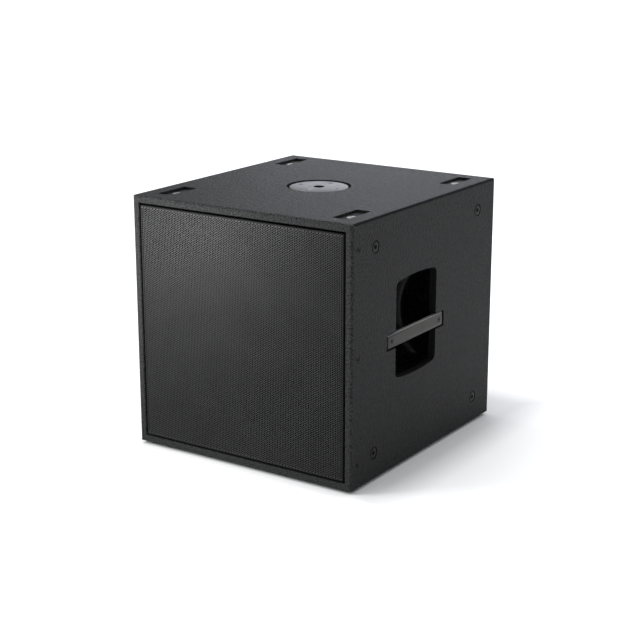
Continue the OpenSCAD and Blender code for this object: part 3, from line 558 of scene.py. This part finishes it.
def rounded_outline(half_w, half_h, radius, steps=5):
    """Points round a rectangle with rounded corners, anticlockwise, as (u, v)."""
    points = []
    for corner, (su, sv) in enumerate(((1, 1), (-1, 1), (-1, -1), (1, -1))):
        for i in range(steps + 1):
            a = math.pi / 2 * (corner + i / steps)
            points.append((su * (half_w - radius) + radius * math.cos(a),
                           sv * (half_h - radius) + radius * math.sin(a)))
    return points


def ngon_loft(rings):
    """A solid through rings of equal counts, with flat ends."""
    verts, faces = loft(rings)
    count = len(rings[0])
    faces.append(tuple(range(count))[::-1])
    faces.append(tuple(range(len(verts) - count, len(verts))))
    return mesh_of(verts, faces)


# ---- Grille ----

SHEET = 1.5 * MM
BEND_R = 1.6 * MM
grille_low, grille_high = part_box("grille")
screw_low, screw_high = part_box("grille_screws")
SCREW_Y = (screw_low.y + screw_high.y) / 2
SCREW_Z = (screw_high.z - screw_low.z) / 2 - 6.3 * MM


def grille_halves(flat, triangles):
    """The left and right halves of the face, with their thickness, from its flat triangles."""
    front_y, back_y = grille_low.y, grille_low.y + SHEET
    mid_x = (grille_low.x + grille_high.x) / 2
    mid_z = (grille_low.z + grille_high.z) / 2
    a, b, c = (flat[triangles[:, n]] for n in range(3))
    turn = (b[:, 0] - a[:, 0]) * (c[:, 1] - a[:, 1]) - (b[:, 1] - a[:, 1]) * (c[:, 0] - a[:, 0])
    triangles[turn < 0] = triangles[turn < 0][:, ::-1]
    middle_x = (a[:, 0] + b[:, 0] + c[:, 0]) / 3
    for side, mask in (("left", middle_x < 0), ("right", middle_x >= 0)):
        own = triangles[mask]
        kept, packed = np.unique(own, return_inverse=True)
        packed = packed.reshape(own.shape)
        n = len(kept)
        verts = np.zeros((2 * n, 3))
        verts[:n] = np.column_stack([flat[kept, 0] + mid_x, np.full(n, front_y),
                                     flat[kept, 1] + mid_z])
        verts[n:] = verts[:n]
        verts[n:, 1] = back_y
        sides_of = np.concatenate([packed[:, [0, 1]], packed[:, [1, 2]], packed[:, [2, 0]]])
        code = np.sort(sides_of, axis=1) @ np.array([n + 1, 1])
        _, where, times = np.unique(code, return_index=True, return_counts=True)
        open_edges = sides_of[where[times == 1]]
        walls = np.column_stack([open_edges[:, 1], open_edges[:, 0], open_edges[:, 0] + n,
                                 open_edges[:, 1] + n])
        faces = np.concatenate([packed, packed[:, ::-1] + n]).tolist() + walls.tolist()
        piece(f"grille_{side}_half", verts, faces, "grille_steel",
              instead_of=["grille"] if side == "left" else [], smooth_deg=20)


def grille_face():
    """The face of the folded sheet, with a hexagonal perforation, in two halves."""
    low, high = grille_low, grille_high
    pitch = 4.292 * MM
    column = pitch * math.sqrt(3) / 2
    across = 3.55 * MM
    margin = 0.25 * MM
    face_w, face_h = (high.x - low.x) / 2 - BEND_R, (high.z - low.z) / 2 - BEND_R
    corner_r = across / math.sqrt(3)
    most_i = int((face_w - margin - corner_r) / column)
    most_j = math.ceil(face_h / pitch)
    room_v = face_h - margin - across / 2

    def centre(i, j):
        return i * column, (j + 0.5 * (i % 2)) * pitch

    holes = {}
    for i in range(-most_i, most_i + 1):
        for j in range(-most_j, most_j + 1):
            if abs(centre(i, j)[1]) <= room_v:
                holes[(i, j)] = 6 * len(holes)
    angles = [math.radians(60 * k) for k in range(6)]
    corners = [(corner_r * math.cos(a), corner_r * math.sin(a)) for a in angles]
    flat = []
    for key in holes:
        x, z = centre(*key)
        flat += [(x + u, z + v) for u, v in corners]

    def neighbour(key, k):
        """The next hole in the direction 30 + 60 k degrees."""
        i, j = key
        k %= 6
        odd = i % 2
        if k == 1:
            return i, j + 1
        if k == 4:
            return i, j - 1
        di = 1 if k in (0, 5) else -1
        up = k in (0, 2)
        return i + di, (j + odd if up else j + odd - 1)

    triangles = []
    rim = {}

    def count_edges(loop):
        for a, b in zip(loop, loop[1:] + loop[:1]):
            edge = (min(a, b), max(a, b))
            rim[edge] = rim.get(edge, 0) + 1

    for key, first in holes.items():
        count_edges([first + k for k in range(6)])
        for k in (0, 1, 2):
            other = holes.get(neighbour(key, k))
            if other is None:
                continue
            quad = [first + k, other + (k + 4) % 6, other + (k + 3) % 6, first + k + 1]
            count_edges(quad)
            triangles += [quad[:3], [quad[0], quad[2], quad[3]]]
        for k in (0, 3):
            before, after = holes.get(neighbour(key, k - 1)), holes.get(neighbour(key, k))
            if before is None or after is None:
                continue
            corner = [first + k, before + (k + 2) % 6, after + (k + 4) % 6]
            count_edges(corner)
            triangles.append(corner)

    # The plain margin, between the outermost holes and the bend
    outline = [edge for edge, times in rim.items() if times == 1]
    used = sorted({v for edge in outline for v in edge})
    order = {v: n for n, v in enumerate(used)}
    frame_steps = 24
    border = []
    turns = ((-1, -1), (1, -1), (1, 1), (-1, 1), (-1, -1))
    for (x0, z0), (x1, z1) in zip(turns, turns[1:]):
        for n in range(frame_steps):
            t = n / frame_steps
            border.append((face_w * (x0 + (x1 - x0) * t), face_h * (z0 + (z1 - z0) * t)))
    base = len(flat)
    points = [Vector(flat[v]) for v in used] + [Vector(p) for p in border]
    ring = [(len(used) + n, len(used) + (n + 1) % len(border)) for n in range(len(border))]
    edges = [(order[a], order[b]) for a, b in outline] + ring
    new_points, _, new_faces, sources = geometry.delaunay_2d_cdt(points, edges, [], 0, 1e-9)[:4]
    flat += border
    index_of = {}
    for n, source in enumerate(sources):
        first = min(source)
        index_of[n] = used[first] if first < len(used) else base + first - len(used)
    ends = np.array([[flat[a], flat[b]] for a, b in outline])

    def inside_outline(p):
        x, z = p
        z0, z1 = ends[:, 0, 1], ends[:, 1, 1]
        crosses = (z0 > z) != (z1 > z)
        with np.errstate(divide="ignore", invalid="ignore"):
            at = ends[:, 0, 0] + (z - z0) * (ends[:, 1, 0] - ends[:, 0, 0]) / (z1 - z0)
        return np.count_nonzero(crosses & (at > x)) % 2 == 1

    for face in new_faces:
        middle = sum((new_points[v] for v in face), Vector((0, 0))) / len(face)
        if not inside_outline(middle):
            triangles.append([index_of[v] for v in face])

    grille_halves(np.array(flat), np.array(triangles))


def grille_rim():
    """The rim of the folded sheet: round the bend and back along the walls of the opening."""
    low, high = grille_low, grille_high
    front_y, fold_y, straight = low.y, high.y, low.y + 8 * MM
    mid_x, mid_z = (low.x + high.x) / 2, (low.z + high.z) / 2
    half_x, half_z = (high.x - low.x) / 2, (high.z - low.z) / 2
    inner_r = BEND_R - SHEET
    section = []
    for n in range(7):
        t = math.pi / 2 * n / 6
        section.append((BEND_R - BEND_R * math.sin(t), front_y + BEND_R - BEND_R * math.cos(t)))
    section += [(0.0, straight), (0.0, fold_y), (SHEET, fold_y), (SHEET, straight)]
    for n in range(4):
        t = math.pi / 2 * n / 3
        section.append((BEND_R - inner_r * math.cos(t), front_y + BEND_R - inner_r * math.sin(t)))
    rings = []
    for inset, y in section:
        radius = max(BEND_R - inset, 0.02 * MM)
        rings.append([(mid_x + u, y, mid_z + v)
                      for u, v in rounded_outline(half_x - inset, half_z - inset, radius)])
    verts, faces = loft(rings, closed_ends=True)
    drills = []
    for side in (-1, 1):
        for n in (-1, 0, 1):
            place = Matrix.Translation((side * half_x, SCREW_Y, mid_z + n * SCREW_Z))
            drills.append(moved(drill(3.2 * MM, FINE_AXIS_R), place @ facing(1)))
    dress("grille_folded_rim", cut(mesh_of(verts, faces, 1e-7), drills), "grille_steel",
          smooth_deg=40)


grille_face()
grille_rim()


# ---- Soft pieces ----

def soft_slab(name, node, slot, cell, swell, ripple, seed, corner, hole=None):
    """A sheet of foam or wadding in the box of its CAD node, crowned towards its edges over the
    corner distance, with uneven faces. A hole is a rectangle (low, high) in its two wide
    directions."""
    low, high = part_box(node)
    size = high - low
    thin = min(range(3), key=lambda axis: size[axis])
    u, v = [axis for axis in range(3) if axis != thin]
    count_u, count_v = max(4, round(size[u] / cell)), max(4, round(size[v] / cell))
    half = size[thin] / 2
    middle = (low[thin] + high[thin]) / 2

    def hole_gap(a, b):
        """How far a point lies from the hole."""
        if hole is None:
            return 1.0
        return math.hypot(max(hole[0][0] - a, 0, a - hole[1][0]),
                          max(hole[0][1] - b, 0, b - hole[1][1]))

    verts, faces = [], []
    for face_side in (-1, 1):
        for i in range(count_u + 1):
            for j in range(count_v + 1):
                p = [0.0, 0.0, 0.0]
                p[u] = low[u] + size[u] * i / count_u
                p[v] = low[v] + size[v] * j / count_v
                near = min(p[u] - low[u], high[u] - p[u], p[v] - low[v], high[v] - p[v],
                           hole_gap(p[u], p[v]))
                edge = min(1.0, near / corner)
                round_off = math.sqrt(max(0.0, 1 - (1 - edge) ** 2))
                wave = noise.noise(Vector((p[u] * 22, p[v] * 22, seed + face_side)))
                wave += 0.5 * noise.noise(Vector((p[u] * 60, p[v] * 60, seed - face_side)))
                depth = half * (1 - swell + swell * round_off) - ripple * (0.75 + 0.5 * wave)
                p[thin] = middle + face_side * depth
                verts.append(p)
    row = count_v + 1
    sheet = (count_u + 1) * row
    cells = set()
    for i in range(count_u):
        for j in range(count_v):
            corners = [verts[(i + di) * row + j + dj] for di in (0, 1) for dj in (0, 1)]
            if min(hole_gap(c[u], c[v]) for c in corners) > 0:
                cells.add((i, j))
    for i, j in sorted(cells):
        a = i * row + j
        quad = (a, a + 1, a + row + 1, a + row)
        faces += [quad, tuple(sheet + n for n in quad[::-1])]
        for side, (di, dj) in enumerate(((-1, 0), (0, 1), (1, 0), (0, -1))):
            if (i + di, j + dj) not in cells:
                first, last = quad[side], quad[(side + 1) % 4]
                faces.append((first, last, last + sheet, first + sheet))
    made = dress(name, mesh_of(verts, faces, 1e-8), slot, instead_of=[node], smooth_deg=70)


def wadding_sheet(side, seed, hole=None):
    soft_slab(f"{side}_wadding", f"{side}_lining", "grey_wadding", cell=9 * MM, swell=0.5,
              ripple=1.2 * MM, seed=seed, corner=14 * MM, hole=hole)


dish_low, dish_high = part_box("connector_dish")
DISH_EDGE = 7 * MM
soft_slab("grille_foam_sheet", "grille_foam", "black_foam", cell=6 * MM, swell=0.3,
          ripple=0.25 * MM, seed=3.0, corner=4 * MM)
wadding_sheet("top", 11.0)
wadding_sheet("bottom", 23.0)
wadding_sheet("rear", 37.0, hole=((dish_low.x + DISH_EDGE, dish_low.z + DISH_EDGE),
                                  (dish_high.x - DISH_EDGE, dish_high.z - DISH_EDGE)))


# ---- Handles ----

BAR_SCREW_Y = 89 * MM


def hand_outline(half_w, half_h, radius, rise, steps=6):
    """Points round the hand opening: straight sides, rounded corners, and a top and bottom that
    arch by the rise."""
    arch_r = (half_w ** 2 + rise ** 2) / (2 * rise)
    corner_x = half_w - radius
    drop = arch_r - half_h
    corner_z = math.sqrt((arch_r - radius) ** 2 - corner_x ** 2) - drop
    turn = math.atan2(corner_z + drop, corner_x)
    quarter = []
    for n in range(steps + 1):
        a = turn * n / steps
        quarter.append((corner_x + radius * math.cos(a), corner_z + radius * math.sin(a)))
    for n in range(1, 2 * steps + 1):
        a = turn + (math.pi / 2 - turn) * n / (2 * steps)
        quarter.append((arch_r * math.cos(a), arch_r * math.sin(a) - drop))
    upper = quarter + [(-u, v) for u, v in quarter[-2::-1]]
    lower = [(u, -v) for u, v in upper[::-1]]
    right = [(half_w, corner_z * (n / 7 - 1)) for n in range(1, 14)]
    return upper + [(-u, -v) for u, v in right] + lower + right


def hand_cup(side):
    """A glossy moulded bowl with a filleted floor, a thin flange and clearance holes."""
    name = f"{side}_handle_cup"
    low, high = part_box(name)
    sign = SIDES[side]
    flange, wall, rise, corner = 12 * MM, 3 * MM, 6 * MM, 12 * MM
    mid_y, mid_z = (low.y + high.y) / 2, (low.z + high.z) / 2
    half_w, half_h = (high.y - low.y) / 2 - flange, (high.z - low.z) / 2 - flange
    face_x = max(abs(low.x), abs(high.x))
    deepest = face_x - min(abs(low.x), abs(high.x)) - wall
    back_r = 130 * MM
    fillet = 24 * MM
    draw_in = fillet * 0.9

    def outline(grow):
        return hand_outline(half_w + grow, half_h + grow, corner + grow, rise)

    def floor_depth(v):
        return deepest - back_r + math.sqrt(back_r ** 2 - min(abs(v), half_h) ** 2)

    def place(u, v, depth):
        return (sign * (face_x - depth), mid_y + u, mid_z + v)

    def shell(grow, extra):
        rings = []
        edge = outline(grow)
        for n in range(9):
            t = math.pi / 2 * n / 8
            shrink = draw_in * (1 - math.cos(t))
            ring = []
            for u, v in edge:
                uu, vv = u * (1 - shrink / half_w), v * (1 - shrink / half_h)
                floor = floor_depth(vv)
                lift = min(fillet, floor * 0.8) * (1 - math.sin(t))
                ring.append(place(uu, vv, floor + extra - lift))
            rings.append(ring)
        scale_u, scale_v = 1 - draw_in / half_w, 1 - draw_in / half_h
        for k in (0.84, 0.68, 0.52, 0.36, 0.2, 0.06):
            ku, kv = scale_u * k, scale_v * k
            rings.append([place(u * ku, v * kv, floor_depth(v * kv) + extra) for u, v in edge])
        return rings

    inner, outer = shell(0.0, 0.0), shell(wall, wall * 0.97)
    top = [place(u, v, 0.0) for u, v in outline(0.0)]
    skirt = [[place(u, v, wall) for u, v in outline(wall)],
             [place(u, v, wall) for u, v in outline(flange)],
             [place(u, v, 0.0) for u, v in outline(flange)]]
    rings = inner[::-1] + [top] + skirt[::-1] + outer
    verts, faces = loft(rings)
    count = len(top)
    faces += [tuple(range(count)), tuple(range(len(verts) - count, len(verts)))]
    holes = []
    beyond = 7.8 * MM
    screws = [(0.0, s * (half_h + beyond)) for s in (-1, 1)]
    screws += [(s * (half_w + beyond), t * 50 * MM) for s in (-1, 1) for t in (-1, 1)]
    bar_low, bar_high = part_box(f"{side}_handle_bar")
    bar_z = (bar_low.z + bar_high.z) / 2 - mid_z
    nuts = [(s * BAR_SCREW_Y, bar_z) for s in (-1, 1)]
    for radius, centres in ((2.2 * MM, screws), (8 * MM, nuts)):
        for u, v in centres:
            holes.append(moved(drill(radius), Matrix.Translation(place(u, v, 0.0)) @ facing(1)))
    dress(f"{side}_cup_bowl", cut(mesh_of(verts, faces), holes), "gloss_black_plastic",
          instead_of=[name], smooth_deg=50)


def hand_bar(side):
    """A flat bar with rounded edges and two countersunk holes."""
    name = f"{side}_handle_bar"
    low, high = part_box(name)
    sign = SIDES[side]
    middle = (low + high) / 2
    half_x, half_y, half_z = (high - low) / 2
    edge, corner = 1.6 * MM, 2.5 * MM
    rings = []
    for end in (-1, 1):
        for n in range(5)[::-end]:
            t = math.pi / 2 * n / 4
            inset = edge * (1 - math.sin(t))
            y = middle.y + end * (half_y - edge + edge * math.cos(t))
            rings.append([(middle.x + u, y, middle.z + v)
                          for u, v in rounded_outline(half_x - inset, half_z - inset,
                                                      corner - inset)])
    face_x = sign * max(abs(low.x), abs(high.x))
    sinks = []
    for s in (-1, 1):
        place = Matrix.Translation((face_x, middle.y + s * BAR_SCREW_Y, middle.z))
        sinks.append(moved(countersink(5.8 * MM), place @ facing(sign)))
    dress(f"{side}_grab_bar", cut(ngon_loft(rings), sinks), "handle_metal", instead_of=[name],
          smooth_deg=30)


def front_screws():
    """Countersunk screws with a bevelled rim and a deep hexagon socket."""
    head_r, length = 5.5 * MM, 29 * MM
    body = lathe([(AXIS_R, -length), (2.4 * MM, -length), (3 * MM, -length + 0.8 * MM),
                  (3 * MM, -3.6 * MM), (head_r, -1.1 * MM), (head_r, -0.4 * MM),
                  (head_r - 0.4 * MM, -0.05 * MM), (3.4 * MM, 0.0), (AXIS_R, 0.0)], 32)
    socket_r, socket_low, socket_high = 2.7 * MM, -2.8 * MM, 1 * MM
    socket = lathe([(AXIS_R, socket_low), (socket_r, socket_low),
                    (socket_r, socket_high), (AXIS_R, socket_high)], 6)
    one = cut(body, [socket])
    mid_z = (screw_low.z + screw_high.z) / 2
    made = []
    for sign in SIDES.values():
        for n in (-1, 0, 1):
            place = Matrix.Translation((sign * screw_high.x, SCREW_Y, mid_z + n * SCREW_Z))
            made.append(moved(one, place @ facing(sign)))
    dress("front_screw_set", joined(made), slot_of["grille_screws"],
          instead_of=["grille_screws"])


front_screws()
for side_name in SIDES:
    hand_cup(side_name)
    hand_bar(side_name)


# ---- Pole plate and threaded inserts ----

def pole_plate():
    """A round plate with a boss, an M20 thread and four countersunk holes. It is a little smaller
    than its CAD node, so that the gap round it reads as in the photo."""
    low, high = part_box("pole_plate")
    radius = (high.x - low.x) / 2 - 2 * MM
    top, under, bottom = high.z - 0.4 * MM, high.z - 7 * MM, low.z
    bore_r, thread_r, boss_r, screw_r = 8.65 * MM, 10 * MM, 19 * MM, 43 * MM
    outside = [(11.3 * MM, top), (radius - 1.4 * MM, top), (radius - 0.4 * MM, top - 0.4 * MM),
               (radius, top - 1.4 * MM), (radius, under), (boss_r + 3 * MM, under),
               (boss_r + 0.9 * MM, under - 0.9 * MM), (boss_r, under - 3 * MM),
               (boss_r, bottom + 1 * MM), (boss_r - 1 * MM, bottom), (11 * MM, bottom)]
    plate = threaded_tube(outside, top - 2.2 * MM, bottom + 1.5 * MM, bore_r, thread_r,
                          pitch=2.5 * MM, steps=96, lead_in=2.5 * MM)
    sinks = []
    for n in range(4):
        a = math.pi / 2 * n
        place = Matrix.Translation((screw_r * math.cos(a), screw_r * math.sin(a), top))
        sinks.append(moved(countersink(6.0 * MM), place))
    dress("pole_socket_plate", cut(plate, sinks), "plate_metal", instead_of=["pole_plate"],
          smooth_deg=40)


FLANGE_R = 10.2 * MM


def insert_mesh(length):
    """A flanged insert with an M8 thread, its flange's face at z = 0."""
    flange_t, barrel_r = 2.5 * MM, 6.8 * MM
    outside = [(4.9 * MM, 0.0), (FLANGE_R - 0.7 * MM, 0.0), (FLANGE_R - 0.2 * MM, -0.2 * MM),
               (FLANGE_R, -0.7 * MM), (FLANGE_R, -flange_t), (barrel_r, -flange_t),
               (barrel_r, -length + 0.6 * MM), (barrel_r - 0.6 * MM, -length), (4.3 * MM, -length)]
    return threaded_tube(outside, -0.9 * MM, -length + 0.3 * MM, 3.4 * MM, 4.0 * MM,
                         pitch=1.25 * MM, steps=40, lead_in=1.2 * MM)


def inserts():
    """The four inserts in each side, and the one in each stacking pocket."""
    for side, sign in SIDES.items():
        low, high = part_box(f"{side}_rigging_inserts")
        length = high.x - low.x
        face = max(abs(low.x), abs(high.x))
        places = [(sign * face, y, z) for y in (low.y + FLANGE_R, high.y - FLANGE_R)
                  for z in (low.z + FLANGE_R, high.z - FLANGE_R)]
        one = insert_mesh(length)
        four = joined([moved(one, Matrix.Translation(p) @ facing(sign)) for p in places])
        dress(f"{side}_rigging_bushes", four, "black_steel",
              instead_of=[f"{side}_rigging_inserts"], smooth_deg=40)
    low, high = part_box("top_pocket_inserts")
    one = insert_mesh(high.z - low.z)
    places = [(x, y, high.z) for x in (low.x + FLANGE_R, high.x - FLANGE_R)
              for y in (low.y + FLANGE_R, high.y - FLANGE_R)]
    dress("pocket_bushes", joined([moved(one, Matrix.Translation(p)) for p in places]),
          slot_of["top_pocket_inserts"], instead_of=["top_pocket_inserts"], smooth_deg=40)


pole_plate()
inserts()


# ---- Flexible parts of the driver ----

cone_low, cone_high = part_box("cone")
AXIS_Z = (cone_low.z + cone_high.z) / 2
BAFFLE_Y = cone_low.y + 13.7 * MM


def driver_point(r, degrees, ahead):
    """A point at a radius and angle round the driver's axis, ahead of the baffle's face."""
    a = math.radians(degrees)
    return Vector((r * math.cos(a), BAFFLE_Y - ahead, AXIS_Z + r * math.sin(a)))


def flexible_ring(name, node, section, sectors, slot):
    """A ring of sectors with one closed section. Each sector runs along its own radius, from the
    basket to the cone, and neighbours agree along their shared edge."""
    span = 360 / sectors
    steps = 4
    for n in range(sectors):
        rings = []
        for k in range(steps + 1):
            degrees = span * (n + k / steps - 0.5)
            rings.append([driver_point(r, degrees, ahead) for r, ahead in section])
        made = dress(f"{name}_{n + 1:02d}", ngon_loft(rings), slot, body=None,
                     instead_of=[node] if n == 0 else [], smooth_deg=50)
        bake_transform(made)


def surround_section():
    """A half roll between a flat rim glued to the basket and one glued to the cone."""
    roll_r, skin, mid_r, low_z, high_z = 9.5 * MM, 1 * MM, 160.5 * MM, 8 * MM, 14 * MM
    inner_r, outer_r = 144 * MM, 179 * MM
    steps = 16

    def roll(i, r, lift):
        a = math.pi * (1 - i / steps)
        lean = (1 - math.cos(a)) / 2
        return mid_r + r * math.cos(a), low_z + lift + (high_z - low_z) * lean + r * math.sin(a)

    points = [(inner_r, high_z)] + [roll(i, roll_r - skin, 0) for i in range(steps + 1)]
    points += [(outer_r, low_z), (outer_r, low_z + skin)]
    points += [roll(i, roll_r, skin) for i in range(steps, -1, -1)]
    return points + [(inner_r, high_z + skin)]


def spider_section():
    """Round waves between the coil former and a flat rim glued to the basket."""
    r_in, r_out, r_rim = 38.5 * MM, 90 * MM, 103.5 * MM
    level, skin, wave, waves, steps = -72 * MM, 0.8 * MM, 1.6 * MM, 6, 60
    lower = []
    for i in range(steps + 1):
        t = i / steps
        lower.append((r_in + (r_out - r_in) * t, level + wave * math.sin(2 * math.pi * waves * t)))
    upper = [(r, z + skin) for r, z in lower[::-1]]
    return lower + [(r_rim, level), (r_rim, level + skin)] + upper


def flexible_lead(number, offset):
    """A braided lead in a loop from a terminal to the back of the cone."""
    loop_r, wire_r, steps, around = 23.4 * MM, 0.9 * MM, 40, 10
    centre_r, centre_ahead = 120.5 * MM, -33 * MM
    start_deg, sweep_deg = 135, 187
    rings = []
    for n in range(steps + 1):
        a = math.radians(start_deg + sweep_deg * n / steps)
        out = Vector((math.cos(a), math.sin(a)))
        ring = []
        for k in range(around):
            b = 2 * math.pi * k / around + n * 0.35
            swell = wire_r * (0.93 + 0.07 * math.cos(5 * b))
            reach = loop_r + swell * math.cos(b)
            r, ahead = centre_r + reach * out.x, centre_ahead + reach * out.y
            ring.append((-r, BAFFLE_Y - ahead, AXIS_Z - offset - swell * math.sin(b)))
        rings.append(ring)
    made = dress(f"flexible_lead_{number}", ngon_loft(rings), slot_of["tinsel_leads"], body=None,
                 instead_of=["tinsel_leads"] if number == 1 else [], smooth_deg=60)
    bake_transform(made)


flexible_ring("surround_sector", "surround", surround_section(), 24,
              "black_rubber")
flexible_ring("spider_sector", "spider", spider_section(), 16, "spider_cloth")
flexible_lead(1, 10 * MM)
flexible_lead(2, -10 * MM)


# ---- Floor, light and camera ----

def floor_glow(tree, socket):
    """A faint glow on the floor, which starts a little way out from the cabinet on each side. It
    stands for the white sweep that the photo was taken on."""
    strength = 0.26
    starts = (("X", 0.28, 0.36), ("X", -0.25, -0.28), ("Y", 0.36, 0.46), ("Y", -0.27, -0.30))
    place = tree.nodes.new("ShaderNodeTexCoord")
    split = tree.nodes.new("ShaderNodeSeparateXYZ")
    tree.links.new(place.outputs["Object"], split.inputs[0])
    reach = None
    for axis, none, full in starts:
        rise = tree.nodes.new("ShaderNodeMapRange")
        tree.links.new(split.outputs[axis], rise.inputs["Value"])
        rise.inputs["From Min"].default_value = none
        rise.inputs["From Max"].default_value = full
        rise.inputs["To Max"].default_value = strength
        if reach is None:
            reach = rise.outputs["Result"]
            continue
        most = tree.nodes.new("ShaderNodeMath")
        most.operation = "MAXIMUM"
        tree.links.new(reach, most.inputs[0])
        tree.links.new(rise.outputs["Result"], most.inputs[1])
        reach = most.outputs[0]
    tree.links.new(reach, socket)


def white_floor():
    """A floor wide enough to fill the view behind the cabinet."""
    far = 40.0
    mesh = bpy.data.meshes.new("floor")
    mesh.from_pydata([(-far, -far, 0), (far, -far, 0), (far, far, 0), (-far, far, 0)], [],
                     [(0, 1, 2, 3)])
    floor = bpy.data.objects.new("floor", mesh)
    bpy.context.scene.collection.objects.link(floor)
    paint = bpy.data.materials.new("floor_paint")
    paint.use_nodes = True
    shader = paint.node_tree.nodes["Principled BSDF"]
    shader.inputs["Base Color"].default_value = (0.92, 0.92, 0.92, 1)
    shader.inputs["Roughness"].default_value = 0.9
    shader.inputs["Specular IOR Level"].default_value = 0.0
    shader.inputs["Emission Color"].default_value = (1, 1, 1, 1)
    floor_glow(paint.node_tree, shader.inputs["Emission Strength"])
    mesh.materials.append(paint)


def studio_sky():
    """Even light from above that fades out towards the horizon."""
    strength = 0.72
    stops = ((0.0, 0.0), (0.22, 0.0), (0.42, 1.0), (1.0, 1.0))
    world = bpy.data.worlds.new("studio")
    bpy.context.scene.world = world
    world.use_nodes = True
    tree = world.node_tree
    sky = tree.nodes["Background"]
    place = tree.nodes.new("ShaderNodeTexCoord")
    split = tree.nodes.new("ShaderNodeSeparateXYZ")
    ramp = tree.nodes.new("ShaderNodeValToRGB")
    tree.links.new(place.outputs["Generated"], split.inputs[0])
    tree.links.new(split.outputs["Z"], ramp.inputs["Fac"])
    tree.links.new(ramp.outputs["Color"], sky.inputs["Color"])
    for n, (position, level) in enumerate(stops):
        stop = ramp.color_ramp.elements[n] if n < 2 else ramp.color_ramp.elements.new(position)
        stop.position = position
        stop.color = (level * 0.99, level, level * 1.02, 1)
    sky.inputs["Strength"].default_value = strength


def aimed(name, data, direction, place=(0.0, 0.0, 0.0)):
    """An object for a lamp or a camera, which looks in a direction from a place."""
    made = bpy.data.objects.new(name, data)
    made.location = place
    made.rotation_mode = "QUATERNION"
    made.rotation_quaternion = direction.to_track_quat("-Z", "Y")
    bpy.context.scene.collection.objects.link(made)
    return made


def area_light(name, place, target, size, watts, spread_deg=180, cool=0.0):
    """A square light at a place, turned to a target."""
    data = bpy.data.lights.new(name, "AREA")
    data.energy = watts
    data.size = size
    data.spread = math.radians(spread_deg)
    data.color = (1 - cool, 1 - cool / 2, 1 + cool)
    aimed(name, data, Vector(target) - Vector(place), place)


def sun_light(name, direction, strength, angle_deg):
    data = bpy.data.lights.new(name, "SUN")
    data.energy = strength
    data.angle = math.radians(angle_deg)
    aimed(name, data, Vector(direction))


def camera():
    """The photo's camera, solved from the corners of the cabinet."""
    azimuth, elevation = math.radians(33.574), math.radians(15.975)
    aim = Vector((0.0054, -0.0041, 0.2330))
    distance = 3.0275
    back = Vector((math.sin(azimuth) * math.cos(elevation),
                   -math.cos(azimuth) * math.cos(elevation), math.sin(elevation)))
    data = bpy.data.cameras.new("camera")
    data.lens = 84.4
    data.sensor_width = 36.0
    data.clip_start, data.clip_end = 0.05, 200
    bpy.context.scene.camera = aimed("camera", data, -back, aim + back * distance)


white_floor()
studio_sky()
sun_light("key_sun", (0.33, 0.20, -1.0), 1.05, 36)
area_light("front_soft", (-0.40, -0.75, 0.42), (-0.12, -0.27, 0.38), 0.3, 2.1, spread_deg=90)
area_light("rear_far", (-1.7, 2.7, 1.0), (0.0, 0.1, 0.5), 2.0, 6, cool=0.06)
area_light("rear_left", (-0.9, 1.8, 1.1), (0.0, 0.15, 0.5), 1.0, 5.8, cool=0.06)
area_light("rear_right", (0.3, 1.7, 1.1), (0.1, 0.15, 0.5), 1.0, 5.3, cool=0.06)
camera()
bpy.context.scene.view_settings.view_transform = "Standard"
